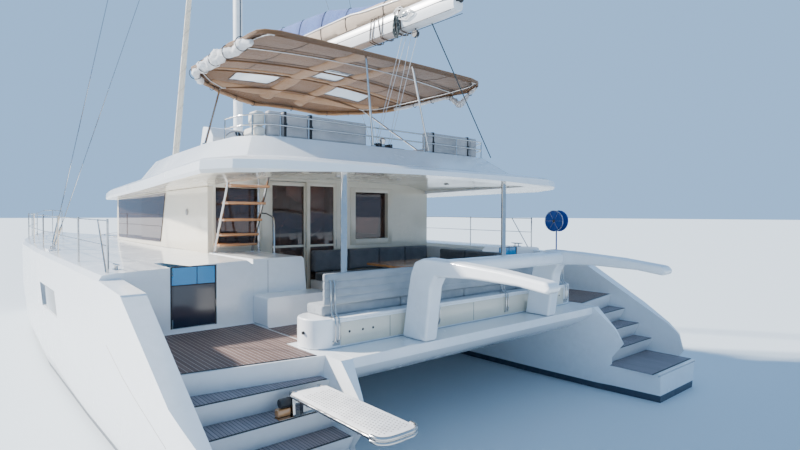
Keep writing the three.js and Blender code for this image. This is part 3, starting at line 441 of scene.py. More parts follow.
# Underwater gear
# A cast alloy saildrive leg under each hull with a three-bladed bronze propeller, and a balanced
# spade rudder on a stock. The rudders wear the antifouling paint, and the legs are bare.
bottom_paint = mottled(finish("antifouling paint", ANTIFOULING, 0.75), 4.0, ANTIFOULING, (0.07, 0.09, 0.11))
drive_alloy = finish("cast alloy", (0.45, 0.47, 0.5), 0.45, 0.7)
bronze = finish("propeller bronze", (0.5, 0.36, 0.16), 0.3, 1.0)
mottled(bronze, 14.0, (0.52, 0.38, 0.17), (0.30, 0.26, 0.16))
for side_name, side in SIDES:
    rounded(f"saildrive_{side_name}", 0.008, drive_alloy)
    rounded(f"propeller_{side_name}", 0.002, bronze)
    rounded(f"rudder_{side_name}", 0.006, bottom_paint)

# Bridgedeck and decks
# One moulding of glass fibre with white gelcoat joins the hulls, and a side deck is moulded beside
# the saloon. Pale grey anti-slip pads are bonded to the foredeck with smooth margins between them.
rounded("bridgedeck", 0.02, gelcoat)
rounded("side_deck_port", 0.025, gelcoat)


def build_grip(tree, given):
    cells = add_node(tree, "TexVoronoi", {"Vector": place(tree), "Scale": given["Grains"]})[0]
    return {"Height": spread(tree, cells, 0.1, 0.6, 1.0, 0.0)}


grip = effect("anti-slip grain", [("Grains", 160.0)], ["Height"], build_grip)
antislip = finish("anti-slip pad", (0.66, 0.68, 0.70), 0.6)
pad_grain = use(antislip.node_tree, grip, {"Grains": 150.0})["Height"]
mottled(antislip, 2.2, (0.69, 0.71, 0.73), (0.58, 0.59, 0.59), height=(pad_grain, 0.0012))
grips = bmesh.new()
FOREDECK, PAD_TOP = 2.279, 2.284
for side in (-1, 1):
    for y0, y1 in ((2.1, 3.25), (4.26, 4.62)):
        for x0, x1 in ((0.1, 1.12), (1.18, 2.2)):
            add_box(grips, (side * x0, y0, FOREDECK), (side * x1, y1, PAD_TOP), 0.0015)
put("foredeck_grips", grips, antislip)
# A fine joint divides the wall beside the port cabin door.
joint = bmesh.new()
add_box(joint, (-2.178, -4.6025, 1.79), (-2.174, -4.598, 2.245))
put("wall_joint", joint, rubber)

# Teak soles and treads
# Planks of grey weathered teak with caulked seams, laid fore and aft on the cockpit sole and glued
# as pads on each stern step and swim platform. Dark strips edge the steps and the sole, and a
# polished strip guards each platform.
PLANK = 0.052
SEAM = 0.1  # share of a plank's width


def build_planks(tree, given):
    across = add_node(tree, "SeparateXYZ", {0: place(tree)})["X"]
    planks = sums(tree, "DIVIDE", across, given["Width"])
    share = sums(tree, "FRACT", planks)
    number = sums(tree, "FLOOR", planks)
    seam = sums(tree, "LESS_THAN", share, given["Seam"])
    tone = add_node(tree, "TexWhiteNoise", {"W": number}, noise_dimensions="1D")["Value"]
    stretched = add_node(tree, "Mapping", {"Vector": place(tree), "Scale": (60.0, 3.0, 60.0)})[0]
    grain = add_node(tree, "TexNoise", {"Vector": stretched, "Scale": 1.0, "Detail": 4.0})[0]
    halves = [sums(tree, "MULTIPLY", part, 0.5) for part in (tone, grain)]
    return {"Seam": seam, "Tone": sums(tree, "ADD", *halves)}


planks = effect("laid planks", [("Width", PLANK), ("Seam", SEAM)], ["Seam", "Tone"], build_planks)


def teak_finish(name, dark, light, caulk, seam=SEAM, width=PLANK):
    material = finish(name, light, 0.7)
    tree = material.node_tree
    laid = use(tree, planks, {"Width": width, "Seam": seam})
    wood = mixed(tree, laid["Tone"], dark, light)
    lines = sums(tree, "SUBTRACT", laid["Tone"], sums(tree, "MULTIPLY", laid["Seam"], 1.5))
    return dress(material, colour=mixed(tree, laid["Seam"], wood, caulk), height=(lines, 0.0016))


teak = teak_finish("weathered teak", (0.10, 0.055, 0.045), (0.19, 0.12, 0.10), (0.44, 0.37, 0.34))
TREAD_SEAM, TREAD_PLANK = 0.18, 0.036
tread_teak = teak_finish("tread teak", (0.20, 0.17, 0.18), (0.31, 0.275, 0.29), (0.07, 0.06, 0.08),
                         TREAD_SEAM, TREAD_PLANK)
SOLE, SOLE_TEAK, TREAD_TEAK, STRIP = 1.3805, 0.006, 0.009, 0.010  # the sole's height, and thicknesses
COCKPIT_SOLE = [(-2.4, -5.95), (2.4, -5.95), (2.4, -3.02), (-1.5, -3.02), (-1.5, -4.62), (-1.37, -4.62),
                (-1.37, -5.06), (-2.4, -5.06)]
soles = bmesh.new()
add_slab(soles, COCKPIT_SOLE, [SOLE, SOLE + SOLE_TEAK], 0.002)
QUARTER_SOLE = [(2.43, -4.64), (4.02, -4.64), (4.02, -6.375), (2.63, -6.625), (2.63, -5.94), (2.43, -5.94)]
for side in (-1, 1):
    add_slab(soles, [(side * x, y) for x, y in QUARTER_SOLE], [SOLE, SOLE + SOLE_TEAK], 0.002)
put("teak_sole", soles, teak)
# Each line runs athwart at y plus a skew for each metre outboard of the hull's centreline.
# columns: aft edge y, its skew, fore edge y, its skew, height
TREADS = [
    (-6.72, 0.05, -6.475, 0.18, 1.145),
    (-6.955, 0, -6.61, 0.05, 0.91),
    (-7.19, 0, -6.85, 0, 0.675),
    (-7.86, 0, -7.08, 0, 0.44),
]
TREAD_HALF = 0.72
treads = bmesh.new()
edges = bmesh.new()
for side in (-1, 1):
    for aft, aft_skew, fore, fore_skew, z in TREADS:
        pad, edge = [], []
        for out in (-TREAD_HALF, TREAD_HALF):
            x, nosing, back = side * (HULL_X + out), aft + aft_skew * out, fore + fore_skew * out
            pad.append([(x, nosing + 0.024), (x, back - 0.012)])
            edge.append([(x, nosing + 0.006), (x, nosing + 0.019)])
        add_slab(treads, [*pad[0], *pad[1][::-1]], [z, z + TREAD_TEAK], 0.002)
        add_slab(edges, [*edge[0], *edge[1][::-1]], [z, z + STRIP], 0.002)
    # A dark strip closes the sole's aft edge above the top step.
    nosing = [(side * x, y) for x, y in QUARTER_SOLE[2:4]]
    back = [(x, y + 0.016) for x, y in nosing[::-1]]
    add_slab(edges, nosing + back, [SOLE, SOLE + 0.008], 0.002)
put("teak_treads", treads, tread_teak)
put("tread_edges", edges, rubber)
guards = bmesh.new()
guard_alloy = finish("edge guard", (0.55, 0.55, 0.56), 0.25, 1.0)
for side in (-1, 1):
    add_box(guards, (side * 2.62, -7.925, 0.412), (side * 4.0, -7.914, 0.438), 0.004)
put("edge_guards", guards, guard_alloy)

# Crossbeam, bow walkway and nets
# An alloy beam with a striker carries the headstay. A moulded walkway leads to it, with a net of
# knotless white cord laced on each side.
painted_alloy = finish("white painted alloy", (0.80, 0.81, 0.82), 0.3, 0.0, {"Coat Weight": 0.3})
mottled(painted_alloy, 3.0, (0.82, 0.83, 0.84), (0.72, 0.73, 0.73))
rounded("crossbeam", 0.003, painted_alloy)
rounded("bow_walkway", 0.01, gelcoat)


def slice_at(shape, at, normal):
    """A line of points across every face that a plane meets."""
    geom = shape.verts[:] + shape.edges[:] + shape.faces[:]
    bmesh.ops.bisect_plane(shape, geom=geom, plane_co=at, plane_no=normal)


net_cord = finish("net cord", (0.74, 0.74, 0.72), 0.85)
CELL, CORD = 0.045, 0.006
for side_name, side in SIDES:
    low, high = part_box(f"trampoline_{side_name}")
    outline = bmesh.new()
    outline.from_mesh(solid_of(f"trampoline_{side_name}"))
    top = max(outline.faces, key=lambda f: f.normal.z * f.calc_area())
    net = bmesh.new()
    net.faces.new([net.verts.new(v.co) for v in top.verts])
    for axis, start, stop in ((0, low.x, high.x), (1, low.y, high.y)):
        normal = Vector((axis == 0, axis == 1, 0))
        for i in range(1, int((stop - start) / CELL)):
            at = Vector((0, 0, 0))
            at[axis] = start + i * CELL
            slice_at(net, at, normal)
    outline.free()
    mesh = bpy.data.meshes.new("net")
    net.to_mesh(mesh)
    net.free()
    piece = put(f"net_{side_name}", mesh, net_cord)
    strands = piece.modifiers.new("strands", "WIREFRAME")
    strands.thickness = CORD
    strands.use_replace = True
    settle(piece)
    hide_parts(f"trampoline_{side_name}")

# Saloon walls and glass
# The house has satin cream walls, tinted glass bonded from inside, and an aft bulkhead with a
# doorway and a framed window on each side of it. A small round vent sits in each side. The glass's warm brown
# is partly its tint and partly painted reflection.
CREAM = (0.76, 0.69, 0.56)
cream = gelcoat_finish("cream moulding", CREAM, (0.66, 0.59, 0.47))
# Its warm brown is partly the glass's tint and partly a painted reflection of warm things round the saloon.
glass = finish("tinted glass with painted reflection", (0.22, 0.14, 0.12), 0.02, fixed={"Transmission Weight": 0.8, "IOR": 1.5})
for name in ("saloon_side_port", "saloon_side_starboard", "saloon_front"):
    rounded(name, 0.012, cream)
rounded("saloon_aft_bulkhead", 0.01, cream)
GLASS = ("side_glass_port", "side_glass_starboard", "front_glass", "aft_window_port", "aft_window_starboard")
paint(GLASS, glass)
dull_plastic = finish("grey plastic", (0.30, 0.29, 0.28), 0.6)
# columns: opening's port edge, starboard edge, foot, head, width of the frame round it
WINDOW_FRAMES = [(0.49, 1.30, 2.41, 3.32, 0.12), (-2.29, -1.52, 2.37, 3.32, 0.05)]
WALL_Y, HEAD_WIDE, LAP = -2.998, 0.09, 0.002  # a bar laps each upright by so much
y0, y1 = WALL_Y - 0.014, WALL_Y + 0.02
window_frames = bmesh.new()
for low, high, foot, head, wide in WINDOW_FRAMES:
    for x0, x1 in ((low - wide, low), (high, high + wide)):
        add_box(window_frames, (x0, y0, foot - wide), (x1, y1, head + HEAD_WIDE), 0.008)
    for z0, z1 in ((foot - wide, foot), (head, head + HEAD_WIDE)):
        add_box(window_frames, (low - LAP, y0 + 0.001, z0), (high + LAP, y1, z1), 0.008)
put("window_frames", window_frames, cream)
VENT = [(0, 0), (0, 0.055), (0.8, 0.055), (1, 0.045), (1, 0)]  # share of its depth, radius
vents = bmesh.new()
for side in (-1, 1):
    at = Vector((side * 2.484, -2.258, 2.92))
    add_turned(vents, at, at + Vector((side * 0.02, 0, 0)), VENT, 28)
put("wall_vents", vents, dull_plastic)

# Saloon door
# Two cream framed leaves with tinted panes. One rolls past the fixed one on its track. Each has a
# slim stainless pull, which lies close on the sliding leaf, so that it passes the other's pane.
steel = finish("polished stainless", (0.50, 0.49, 0.48), 0.12, 1.0)
steel_marks = use(steel.node_tree, haze, {"Size": 18.0})["Mask"]
dress(steel, roughness=spread(steel.node_tree, steel_marks, 0.0, 1.0, 0.08, 0.24))


def door_leaf(node, material, reach):
    """A framed leaf with its pane and pull, in the place of its solid. The pull stands out by reach."""
    low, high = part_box(node)
    body = body_of(node)
    border, sill, rail = 0.07, 0.09, (0.86, 0.9)
    leaf = bmesh.new()
    y0, y1 = high.y - 0.034, high.y
    left, right = low.x + border, high.x - border
    for x0, x1 in ((low.x, left), (right, high.x)):
        add_box(leaf, (x0, y0, low.z), (x1, y1, high.z), 0.004)
    for z0, z1 in ((low.z, low.z + sill), (high.z - border, high.z), (low.z + rail[0], low.z + rail[1])):
        add_box(leaf, (left - LAP, y0 + 0.002, z0), (right + LAP, y1 - 0.002, z1), 0.003)
    piece = put(node + "_leaf", leaf, material, body)
    pane = bmesh.new()
    add_box(pane, (left - 0.01, y0 + 0.013, low.z + 0.05), (right + 0.01, y0 + 0.021, high.z - 0.04), 0.001)
    put(node + "_pane", pane, glass, body)
    pull = bmesh.new()
    x = high.x - border / 2
    add_tube(pull, [(x, y0, 2.28), (x, y0 - reach, 2.29), (x, y0 - reach, 2.55), (x, y0, 2.56)], 0.005, 10)
    put(node + "_pull", pull, steel, body)
    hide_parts(node)


door_leaf("saloon_door_fixed", cream, 0.03)
door_leaf("saloon_door_sliding", cream, 0.006)

# Hardtop
# One moulding makes the cockpit's roof and the flybridge with its coaming. Its top is white, and painted
# bounce light turns its downward faces under the roof cream. It has small flush lights, and two polished
# posts carry its aft edge.
roof_finish = gelcoat_finish("roof gelcoat", WHITE, DULL)
roof_tree = roof_finish.node_tree
facing = add_node(roof_tree, "SeparateXYZ", {0: add_node(roof_tree, "NewGeometry", {})["Normal"]})["Z"]
level = add_node(roof_tree, "SeparateXYZ", {0: place(roof_tree)})["Z"]
downward, under_roof = spread(roof_tree, facing, -0.5, -0.7), spread(roof_tree, level, 3.6, 3.55)
# Faces turned down under the roof are painted cream, as painted warm light bounced up onto them.
painted_bounce_cream = sums(roof_tree, "MULTIPLY", downward, under_roof)
repaint(roof_finish, painted_bounce_cream, CREAM)
rounded("hardtop", 0.03, roof_finish, angle=18)
lamp = finish("lamp lens", (0.85, 0.84, 0.78), 0.2)
lamps = bmesh.new()
rims = bmesh.new()
for x, z in ((-1.9, 3.482), (-0.65, 3.519), (0.65, 3.519), (1.9, 3.482)):
    for y in (-5.2, -4.1):
        add_peg(lamps, (x, y, z + 0.004), (x, y, z - 0.008), 0.04, 0.036)
        add_ring(rims, (x, y, z - 0.004), (0, 0, 1), 0.046, 0.006, 8, 28)
put("roof_lamps", lamps, lamp)
put("roof_lamp_rims", rims, steel)
POST_RADIUS = 0.042
for side_name, side in SIDES:
    low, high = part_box(f"hardtop_post_{side_name}")
    middle = (low + high) / 2
    post = bmesh.new()
    foot = (middle.x, middle.y, low.z)
    head = (middle.x, middle.y, high.z)
    tall = high.z - low.z
    flange = [(0, 0), (0, 0.08), (0.008 / tall, 0.08), (0.014 / tall, 0.05), (0.03 / tall, POST_RADIUS)]
    add_turned(post, foot, head, [*flange, (1, POST_RADIUS), (1, 0)], 32)
    piece = put(f"post_{side_name}", post, steel)
    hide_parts(f"hardtop_post_{side_name}")

# Flybridge stairs
# Varnished teak treads between two polished stringers climb aft through the hatch, with a curved
# stainless handrail beside them.
varnish = finish("varnished teak", (0.38, 0.17, 0.07), 0.25,
                 fixed={"Coat Weight": 0.7, "Coat Roughness": 0.08})
varnish_tree = varnish.node_tree
stretched = {"Vector": place(varnish_tree), "Scale": (4.0, 40.0, 40.0)}
along_grain = add_node(varnish_tree, "Mapping", stretched)[0]
grain = add_node(varnish_tree, "TexNoise", {"Vector": along_grain, "Scale": 1.0, "Detail": 5.0})[0]
dress(varnish, colour=mixed(varnish_tree, grain, (0.34, 0.13, 0.045), (0.62, 0.31, 0.12)))
stair_low, stair_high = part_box("flybridge_stairs")
STAIR_TREADS = (2.42, 2.585, 2.82, 3.08, 3.34)
STAIR_HEAD = 3.56
DECK_Z = 2.27


def stair_y(z):
    """Where the sloping stringers are at a height."""
    return -3.23 - 0.5 * (z - STAIR_TREADS[0])


def add_leg(shape, foot, head, radius, plate, thick, sides=14):
    """A tube on a round foot plate."""
    add_tube(shape, [foot, head], radius, sides)
    add_tube(shape, [foot, (foot[0], foot[1], foot[2] + thick)], plate, 16)


steps = bmesh.new()
stringers = bmesh.new()
for z in STAIR_TREADS:
    y = stair_y(z)
    add_box(steps, (stair_low.x + 0.02, y - 0.12, z - 0.042), (stair_high.x - 0.02, y + 0.12, z), 0.01)
for x in (stair_low.x + 0.02, stair_high.x - 0.02):
    foot, head = (x, stair_y(DECK_Z), DECK_Z), (x, stair_y(STAIR_HEAD), STAIR_HEAD)
    add_leg(stringers, foot, head, 0.022, 0.045, 0.012)
# A post stands beside the stairs, and a bent rail runs from it down to a foot of its own.
POST_X, POST_Y = -1.575, -3.06
add_leg(stringers, (POST_X, POST_Y, DECK_Z), (POST_X, POST_Y, 3.5), 0.019, 0.042, 0.012)
RAIL = [(POST_X, POST_Y, 2.908), (-1.6, -3.4, 2.9), (-1.65, -3.7, 2.85), (-1.675, -3.8, 2.82),
        (-1.686, -3.84, 2.76)]
add_tube(stringers, [*RAIL, (-1.686, -3.844, DECK_Z)], 0.0125, 12)
add_tube(stringers, [(-1.686, -3.844, DECK_Z), (-1.686, -3.844, DECK_Z + 0.01)], 0.034, 16)
piece = put("stair_treads", steps, varnish)
put("stair_stringers", stringers, steel)
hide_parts("flybridge_stairs")

# Aft cabin doors
# A hinged leaf of blue tinted acrylic at the head of each cabin stair, with a darker lower panel
# and a black seal round its edge.
acrylic = finish("blue acrylic", (0.0, 0.27, 0.55), 0.12, fixed={"Coat Weight": 0.2})
acrylic_tree = acrylic.node_tree
acrylic_level = add_node(acrylic_tree, "SeparateXYZ", {0: place(acrylic_tree)})["Z"]
SEAL, PANEL_TOP = 0.014, 1.99
sheen = spread(acrylic_tree, acrylic_level, PANEL_TOP - 0.005, PANEL_TOP)
dress(acrylic, colour=mixed(acrylic_tree, sheen, (0.012, 0.02, 0.04), (0.0, 0.26, 0.54)))
for side_name, side in SIDES:
    name = f"aft_cabin_door_{side_name}"
    rounded(name, 0.002, acrylic)
    low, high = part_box(name)
    seal = bmesh.new()
    y0, y1 = low.y - 0.004, low.y + 0.006
    middle = (low.x + high.x) / 2 + 0.042
    for x0, x1 in ((low.x, low.x + SEAL), (high.x - SEAL, high.x)):
        add_box(seal, (x0, y0, low.z), (x1, y1, high.z), 0.002)
    for z0, z1 in ((high.z - SEAL, high.z), (1.975, PANEL_TOP)):
        add_box(seal, (low.x + SEAL - LAP, y0 + 0.001, z0), (high.x - SEAL + LAP, y1, z1), 0.002)
    add_box(seal, (middle - 0.004, y0 + 0.001, 1.988), (middle + 0.004, y1, high.z - 0.012), 0.001)
    put(name + "_seal", seal, rubber, body_of(name))

# Cockpit seats and table
# The aft bench is a moulded box with a grey cushion and a backrest of padded bands on stainless
# brackets. The dark sofa runs round two sides of a varnished table.
rounded("aft_bench", 0.02, gelcoat)


def build_weave(tree, given):
    spot = place(tree)
    apart = add_node(tree, "SeparateXYZ", {0: spot})
    waves = []
    for name in ("X", "Y", "Z"):
        waves.append(sums(tree, "SINE", sums(tree, "MULTIPLY", apart[name], given["Threads"])))
    height = sums(tree, "MULTIPLY", waves[0], waves[1])
    for first, second in ((1, 2), (0, 2)):
        height = sums(tree, "ADD", height, sums(tree, "MULTIPLY", waves[first], waves[second]))
    cloud = add_node(tree, "TexNoise", {"Vector": spot, "Scale": given["Blotches"], "Detail": 4.0})[0]
    return {"Height": height, "Tone": spread(tree, cloud, 0.3, 0.7)}


weave = effect("woven threads", [("Threads", 3000.0), ("Blotches", 5.0)], ["Height", "Tone"], build_weave)


def cloth_finish(name, dark, light, threads=2600.0, blotches=4.0, depth=0.0006):
    material = finish(name, light, 0.85, fixed={"Sheen Weight": 0.25, "Sheen Roughness": 0.5})
    woven = use(material.node_tree, weave, {"Threads": threads, "Blotches": blotches})
    colours = mixed(material.node_tree, woven["Tone"], dark, light)
    return dress(material, colour=colours, height=(woven["Height"], depth))


grey_cloth = cloth_finish("grey outdoor cloth", (0.30, 0.33, 0.36), (0.40, 0.43, 0.46))
dark_cloth = cloth_finish("dark grey cloth", (0.10, 0.105, 0.12), (0.15, 0.155, 0.17))
pale_cloth = cloth_finish("pale grey cloth", (0.44, 0.42, 0.42), (0.54, 0.52, 0.52))


BESIDE_CHANNEL = (-0.02, -0.01, -0.004, 0, 0.004, 0.01, 0.02)
CHANNEL_HALF = 0.009


def add_cushion(shape, low, high, radius, crown, pull=0.0, channels=(), axis=0, cell=0.05, groove=0.010):
    """A crowned pad between two corners. Its sides pull in between the corners, and sewn channels
    cross it at the given places along an axis, each as deep as groove."""
    low, high = Vector(low), Vector(high)
    pad = bmesh.new()
    add_box(pad, low, high)
    round_edges(pad, pad.edges[:], radius, 4, False)
    for across in range(3):
        count = max(int((high[across] - low[across]) / cell), 1)
        spots = spaced(low[across], high[across], count)[1:-1]
        if across == axis:
            spots += [c + d for c in channels for d in BESIDE_CHANNEL]
        normal = Vector([1.0 if i == across else 0.0 for i in range(3)])
        for spot in spots:
            slice_at(pad, normal * spot, normal)
    middle, half = (low + high) / 2, (high - low) / 2
    thin = min(range(3), key=lambda i: half[i])
    pad.normal_update()
    moves = {}
    for vert in pad.verts:
        share = [(vert.co[i] - middle[i]) / half[i] for i in range(3)]
        wide = [i for i in range(3) if i != thin]
        bulge = (1 - share[wide[0]] ** 2) * (1 - share[wide[1]] ** 2)
        move = Vector((0, 0, 0))
        move[thin] = share[thin] * crown * min(bulge * 2.2, 1.0)
        for i in wide:
            other = wide[1] if i == wide[0] else wide[0]
            move[i] = -share[i] * pull * (1 - share[other] ** 2)
        for channel in channels:
            move -= vert.normal * groove * math.exp(-((vert.co[axis] - channel) / CHANNEL_HALF) ** 2)
        moves[vert] = move
    for vert, move in moves.items():
        vert.co += move
    part = bpy.data.meshes.new("pad")
    pad.to_mesh(part)
    pad.free()
    shape.from_mesh(part)
    bpy.data.meshes.remove(part)


bench_low, bench_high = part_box("aft_bench_cushion")
bench_pad = bmesh.new()
SEATS, BENCH_CROWN = 4, 0.012
PAD_GAP = 0.004  # left at each end of a cushion, beside the next one
seat_ends = spaced(bench_low.x, bench_high.x, SEATS)
for x0, x1 in zip(seat_ends, seat_ends[1:]):
    low = (x0 + PAD_GAP, bench_low.y, bench_low.z)
    high = (x1 - PAD_GAP, bench_high.y, bench_high.z - BENCH_CROWN)
    add_cushion(bench_pad, low, high, 0.028, BENCH_CROWN, 0.006)
piece = put("bench_seat", bench_pad, grey_cloth, smooth=60)
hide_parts("aft_bench_cushion")
back = bmesh.new()
back_low, back_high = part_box("aft_bench_backrest")
BANDS = [1.945, 2.035, 2.125]
low, high = (back_low.x, -6.405, 1.855), (back_high.x, -6.35, 2.215)
add_cushion(back, low, high, 0.02, 0.003, 0.0, BANDS, 2, 0.09, 0.008)
piece = put("bench_backrest", back, grey_cloth, smooth=60)
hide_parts("aft_bench_backrest")
brackets = bmesh.new()
# The bracket's side view, from the back's top over the seat's ledge to a foot on the aft face: y, z
BRACKET = [(-6.405, 2.14), (-6.43, 2.1), (-6.435, 1.95), (-6.44, 1.8), (-6.47, 1.75), (-6.515, 1.72),
           (-6.53, 1.66), (-6.532, 1.56), (-6.53, 1.5), (-6.518, 1.46), (-6.5, 1.44)]
for x in (-2.3, -0.72, 0.72, 2.3):
    for shift in (-0.026, 0.026):
        add_tube(brackets, [(x + shift, y, z) for y, z in BRACKET], 0.011, 10)
    add_box(brackets, (x - 0.05, -6.506, 1.415), (x + 0.05, -6.5, 1.47), 0.002)
    add_box(brackets, (x - 0.045, -6.46, 1.721), (x + 0.045, -6.41, 1.729), 0.002)
put("bench_brackets", brackets, steel)
# The aft face has a cream panel under a white ledge, with three drain holes and a joint in it. The drain
# holes, and one in the bench's port end, are black discs of painted shade.
panel = bmesh.new()
add_box(panel, (-2.24, -6.506, 1.405), (2.24, -6.498, 1.665), 0.003)
put("bench_panel", panel, cream)
ledge = bmesh.new()
add_box(ledge, (-2.34, -6.52, 1.69), (2.34, -6.47, 1.722), 0.012)
put("bench_ledge", ledge, gelcoat)
holes = bmesh.new()
for x in (-2.12, -1.93, -1.78, 1.78, 1.93, 2.12):
    add_peg(holes, (x, -6.505, 1.55), (x, -6.5085, 1.55), 0.016, 0.013, 16)
for x in (-1.52, 0.0, 1.52):
    add_box(holes, (x - 0.003, -6.5075, 1.41), (x + 0.003, -6.504, 1.66))
add_peg(holes, (-2.588, -6.28, 1.56), (-2.606, -6.28, 1.56), 0.02, 0.018, 20)
put("bench_holes", holes, rubber)

sofa = bmesh.new()
sofa_base = bmesh.new()
add_box(sofa_base, (-0.56, -3.68, SOLE), (2.25, -3.06, 1.7), 0.01)
add_box(sofa_base, (1.62, -5.2, SOLE), (2.25, -3.6, 1.7), 0.01)
put("sofa_base", sofa_base, gelcoat)
SEAT_Z, SEAT_TOP_Z, BACK_Z, BACK_TOP_Z, SIDE_BACK_TOP_Z = 1.7, 1.835, 1.84, 2.23, 2.19
sofa_pads = []
for x0, x1 in ((-0.56, 0.2), (0.2, 0.93), (0.93, 1.61)):
    x0, x1 = x0 + PAD_GAP, x1 - PAD_GAP
    sofa_pads.append(((x0, -3.7, SEAT_Z), (x1, -3.2, SEAT_TOP_Z)))
    sofa_pads.append(((x0, -3.2, BACK_Z), (x1, -3.06, BACK_TOP_Z)))
for y0, y1 in ((-5.2, -4.4), (-4.4, -3.7)):
    y0, y1 = y0 + PAD_GAP, y1 - PAD_GAP
    sofa_pads.append(((1.6, y0, SEAT_Z), (2.1, y1, SEAT_TOP_Z)))
    sofa_pads.append(((2.1, y0, BACK_Z), (2.25, y1, SIDE_BACK_TOP_Z)))
sofa_pads.append(((1.61, -3.7, SEAT_Z), (2.25, -3.06, SEAT_TOP_Z)))
sofa_pads.append(((1.61, -3.2, BACK_Z), (2.25, -3.06, BACK_TOP_Z)))
for low, high in sofa_pads:
    add_cushion(sofa, low, high, 0.03, 0.014, 0.005)
piece = put("sofa_cushions", sofa, dark_cloth, smooth=60)
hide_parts("cockpit_sofa")
rounded("cockpit_table", 0.008, varnish)

# Flybridge seats and helm
# Grey pads line the lounge bases, their backs strapped to a stainless rail on the coaming. The helm
# has a moulded console with dark dials and a spoked wheel, and a cream bolster ends the port lounge.
straps_cloth = finish("black webbing", (0.02, 0.02, 0.022), 0.8)
cream_cloth = cloth_finish("cream seat cloth", (0.66, 0.63, 0.56), (0.76, 0.73, 0.67))
WELL_HALF, SEAT_TOP, BACK_FRONT, BACK_AFT, BACK_TOP = 2.04, 4.05, -4.53, -4.665, 4.34
RAIL_Y, RAIL_FOOT, RAIL_TOP = -4.735, 3.97, 4.27
# Where the back cushions part, from port to starboard
LOUNGE_JOINTS = {"port": (-2.2, -1.98, -1.56, -0.48), "starboard": (0.82, 1.96, 2.15)}
STRAPS = (-1.94, -1.52, 0.98, 1.88)
for side_name, joints in LOUNGE_JOINTS.items():
    pads = bmesh.new()
    for x0, x1 in zip(joints, joints[1:]):
        low, high = (x0 + PAD_GAP, BACK_AFT, 3.975), (x1 - PAD_GAP, BACK_FRONT, BACK_TOP)
        add_cushion(pads, low, high, 0.035, 0.008, 0.004, (4.14,), 2)
    seats = [max(joints[0], -WELL_HALF), (joints[0] + joints[-1]) / 2, min(joints[-1], WELL_HALF)]
    for x0, x1 in zip(seats, seats[1:]):
        low, high = (x0 + PAD_GAP, BACK_FRONT, 3.9315), (x1 - PAD_GAP, -4.16, SEAT_TOP)
        add_cushion(pads, low, high, 0.028, 0.01, 0.005)
    piece = put(f"fly_seat_{side_name}", pads, pale_cloth, smooth=60)
    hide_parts(f"flybridge_cushion_{side_name}")
bolster = bmesh.new()
add_cushion(bolster, (-2.36, -4.6, 4.11), (-2.21, -4.36, 4.33), 0.045, 0.008, 0.004)
add_cushion(bolster, (-2.36, -4.62, 3.975), (-2.21, -4.2, 4.105), 0.04, 0.008, 0.004)
piece = put("end_bolster", bolster, cream_cloth, smooth=60)
fly_straps = bmesh.new()
for x in STRAPS:
    add_box(fly_straps, (x - 0.02, BACK_AFT - 0.012, 3.99), (x + 0.02, BACK_AFT - 0.007, BACK_TOP), 0.002)
    add_box(fly_straps, (x - 0.02, BACK_AFT - 0.012, 4.338), (x + 0.02, BACK_FRONT, 4.344), 0.002)
    add_box(fly_straps, (x - 0.027, BACK_AFT - 0.022, 4.12), (x + 0.027, BACK_AFT - 0.006, 4.18), 0.004)
put("seat_straps", fly_straps, straps_cloth)
fly_rails = bmesh.new()
RAIL_LINE = [(-2.5, -3.9), (-2.47, -4.3), (-2.38, -4.55), (-2.24, -4.69), (-2.1, RAIL_Y),
             (2.1, RAIL_Y), (2.24, -4.69), (2.38, -4.55), (2.47, -4.3)]
RAIL_POSTS = [RAIL_LINE[0], RAIL_LINE[2], *[(x, RAIL_Y) for x in (-2.05, -1.6, -0.44, 0.7, 1.5)],
              RAIL_LINE[6], RAIL_LINE[8]]
for z in (RAIL_TOP, 4.13):
    add_tube(fly_rails, [(x, y, z) for x, y in RAIL_LINE], 0.0115, 10)
for x, y in RAIL_POSTS:
    add_tube(fly_rails, [(x, y, RAIL_FOOT - 0.02), (x, y, RAIL_TOP)], 0.0115, 10)
    add_tube(fly_rails, [(x, y, RAIL_FOOT - 0.012), (x, y, RAIL_FOOT + 0.006)], 0.03, 14)
put("seat_rails", fly_rails, steel)
# A winch with two clutches stands on the coaming between the lounges.
winch = bmesh.new()
WINCH = (-0.12, -4.6, 3.97)
WINCH_TALL = 0.17
# The drum's profile from its foot: share of its height, radius
DRUM = [(0, 0), (0, 0.075), (0.12, 0.075), (0.2, 0.05), (0.6, 0.042), (0.8, 0.06), (0.92, 0.06), (1, 0.03),
        (1, 0)]
add_turned(winch, WINCH, (WINCH[0], WINCH[1], WINCH[2] + WINCH_TALL), DRUM, 28)
put("winch", winch, steel)
clutches = bmesh.new()
for shift in (-0.13, 0.13):
    add_box(clutches, (WINCH[0] + shift - 0.03, -4.68, 3.968), (WINCH[0] + shift + 0.03, -4.5, 4.05), 0.01)
add_box(clutches, (-0.4, -4.79, 3.966), (0.2, -4.47, 3.974), 0.003)
put("clutches", clutches, rubber)

rounded("helm_console", 0.03, gelcoat)
HUB, WHEEL_RADIUS = Vector((-0.9, -0.7, 4.3)), 0.33
wheel = bmesh.new()
add_ring(wheel, HUB, (0, 1, 0), WHEEL_RADIUS, 0.016, 12, 56)
for turn in angles(5):
    add_tube(wheel, [HUB, HUB + WHEEL_RADIUS * Vector((math.sin(turn), 0, math.cos(turn)))], 0.009, 10)
boss = [(0, 0), (0, 0.03), (0.15, 0.045), (1, 0.045), (1, 0)]
add_turned(wheel, HUB - Vector((0, 0.03, 0)), HUB + Vector((0, 0.0797, 0)), boss)
piece = put("wheel", wheel, steel, "helm_wheel")
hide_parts("helm_wheel")
dial_face = finish("dial glass", (0.01, 0.012, 0.015), 0.05)
dials = bmesh.new()
add_box(dials, (-1.28, -0.44, 4.6), (-0.98, -0.42, 4.69), 0.004, Matrix.Rotation(radians(-42), 4, "X"))
for x in (-0.82, -0.66, -0.5):
    add_peg(dials, (x, -0.56, 4.57), (x, -0.5, 4.64), 0.052, 0.052)
put("helm_dials", dials, dial_face)

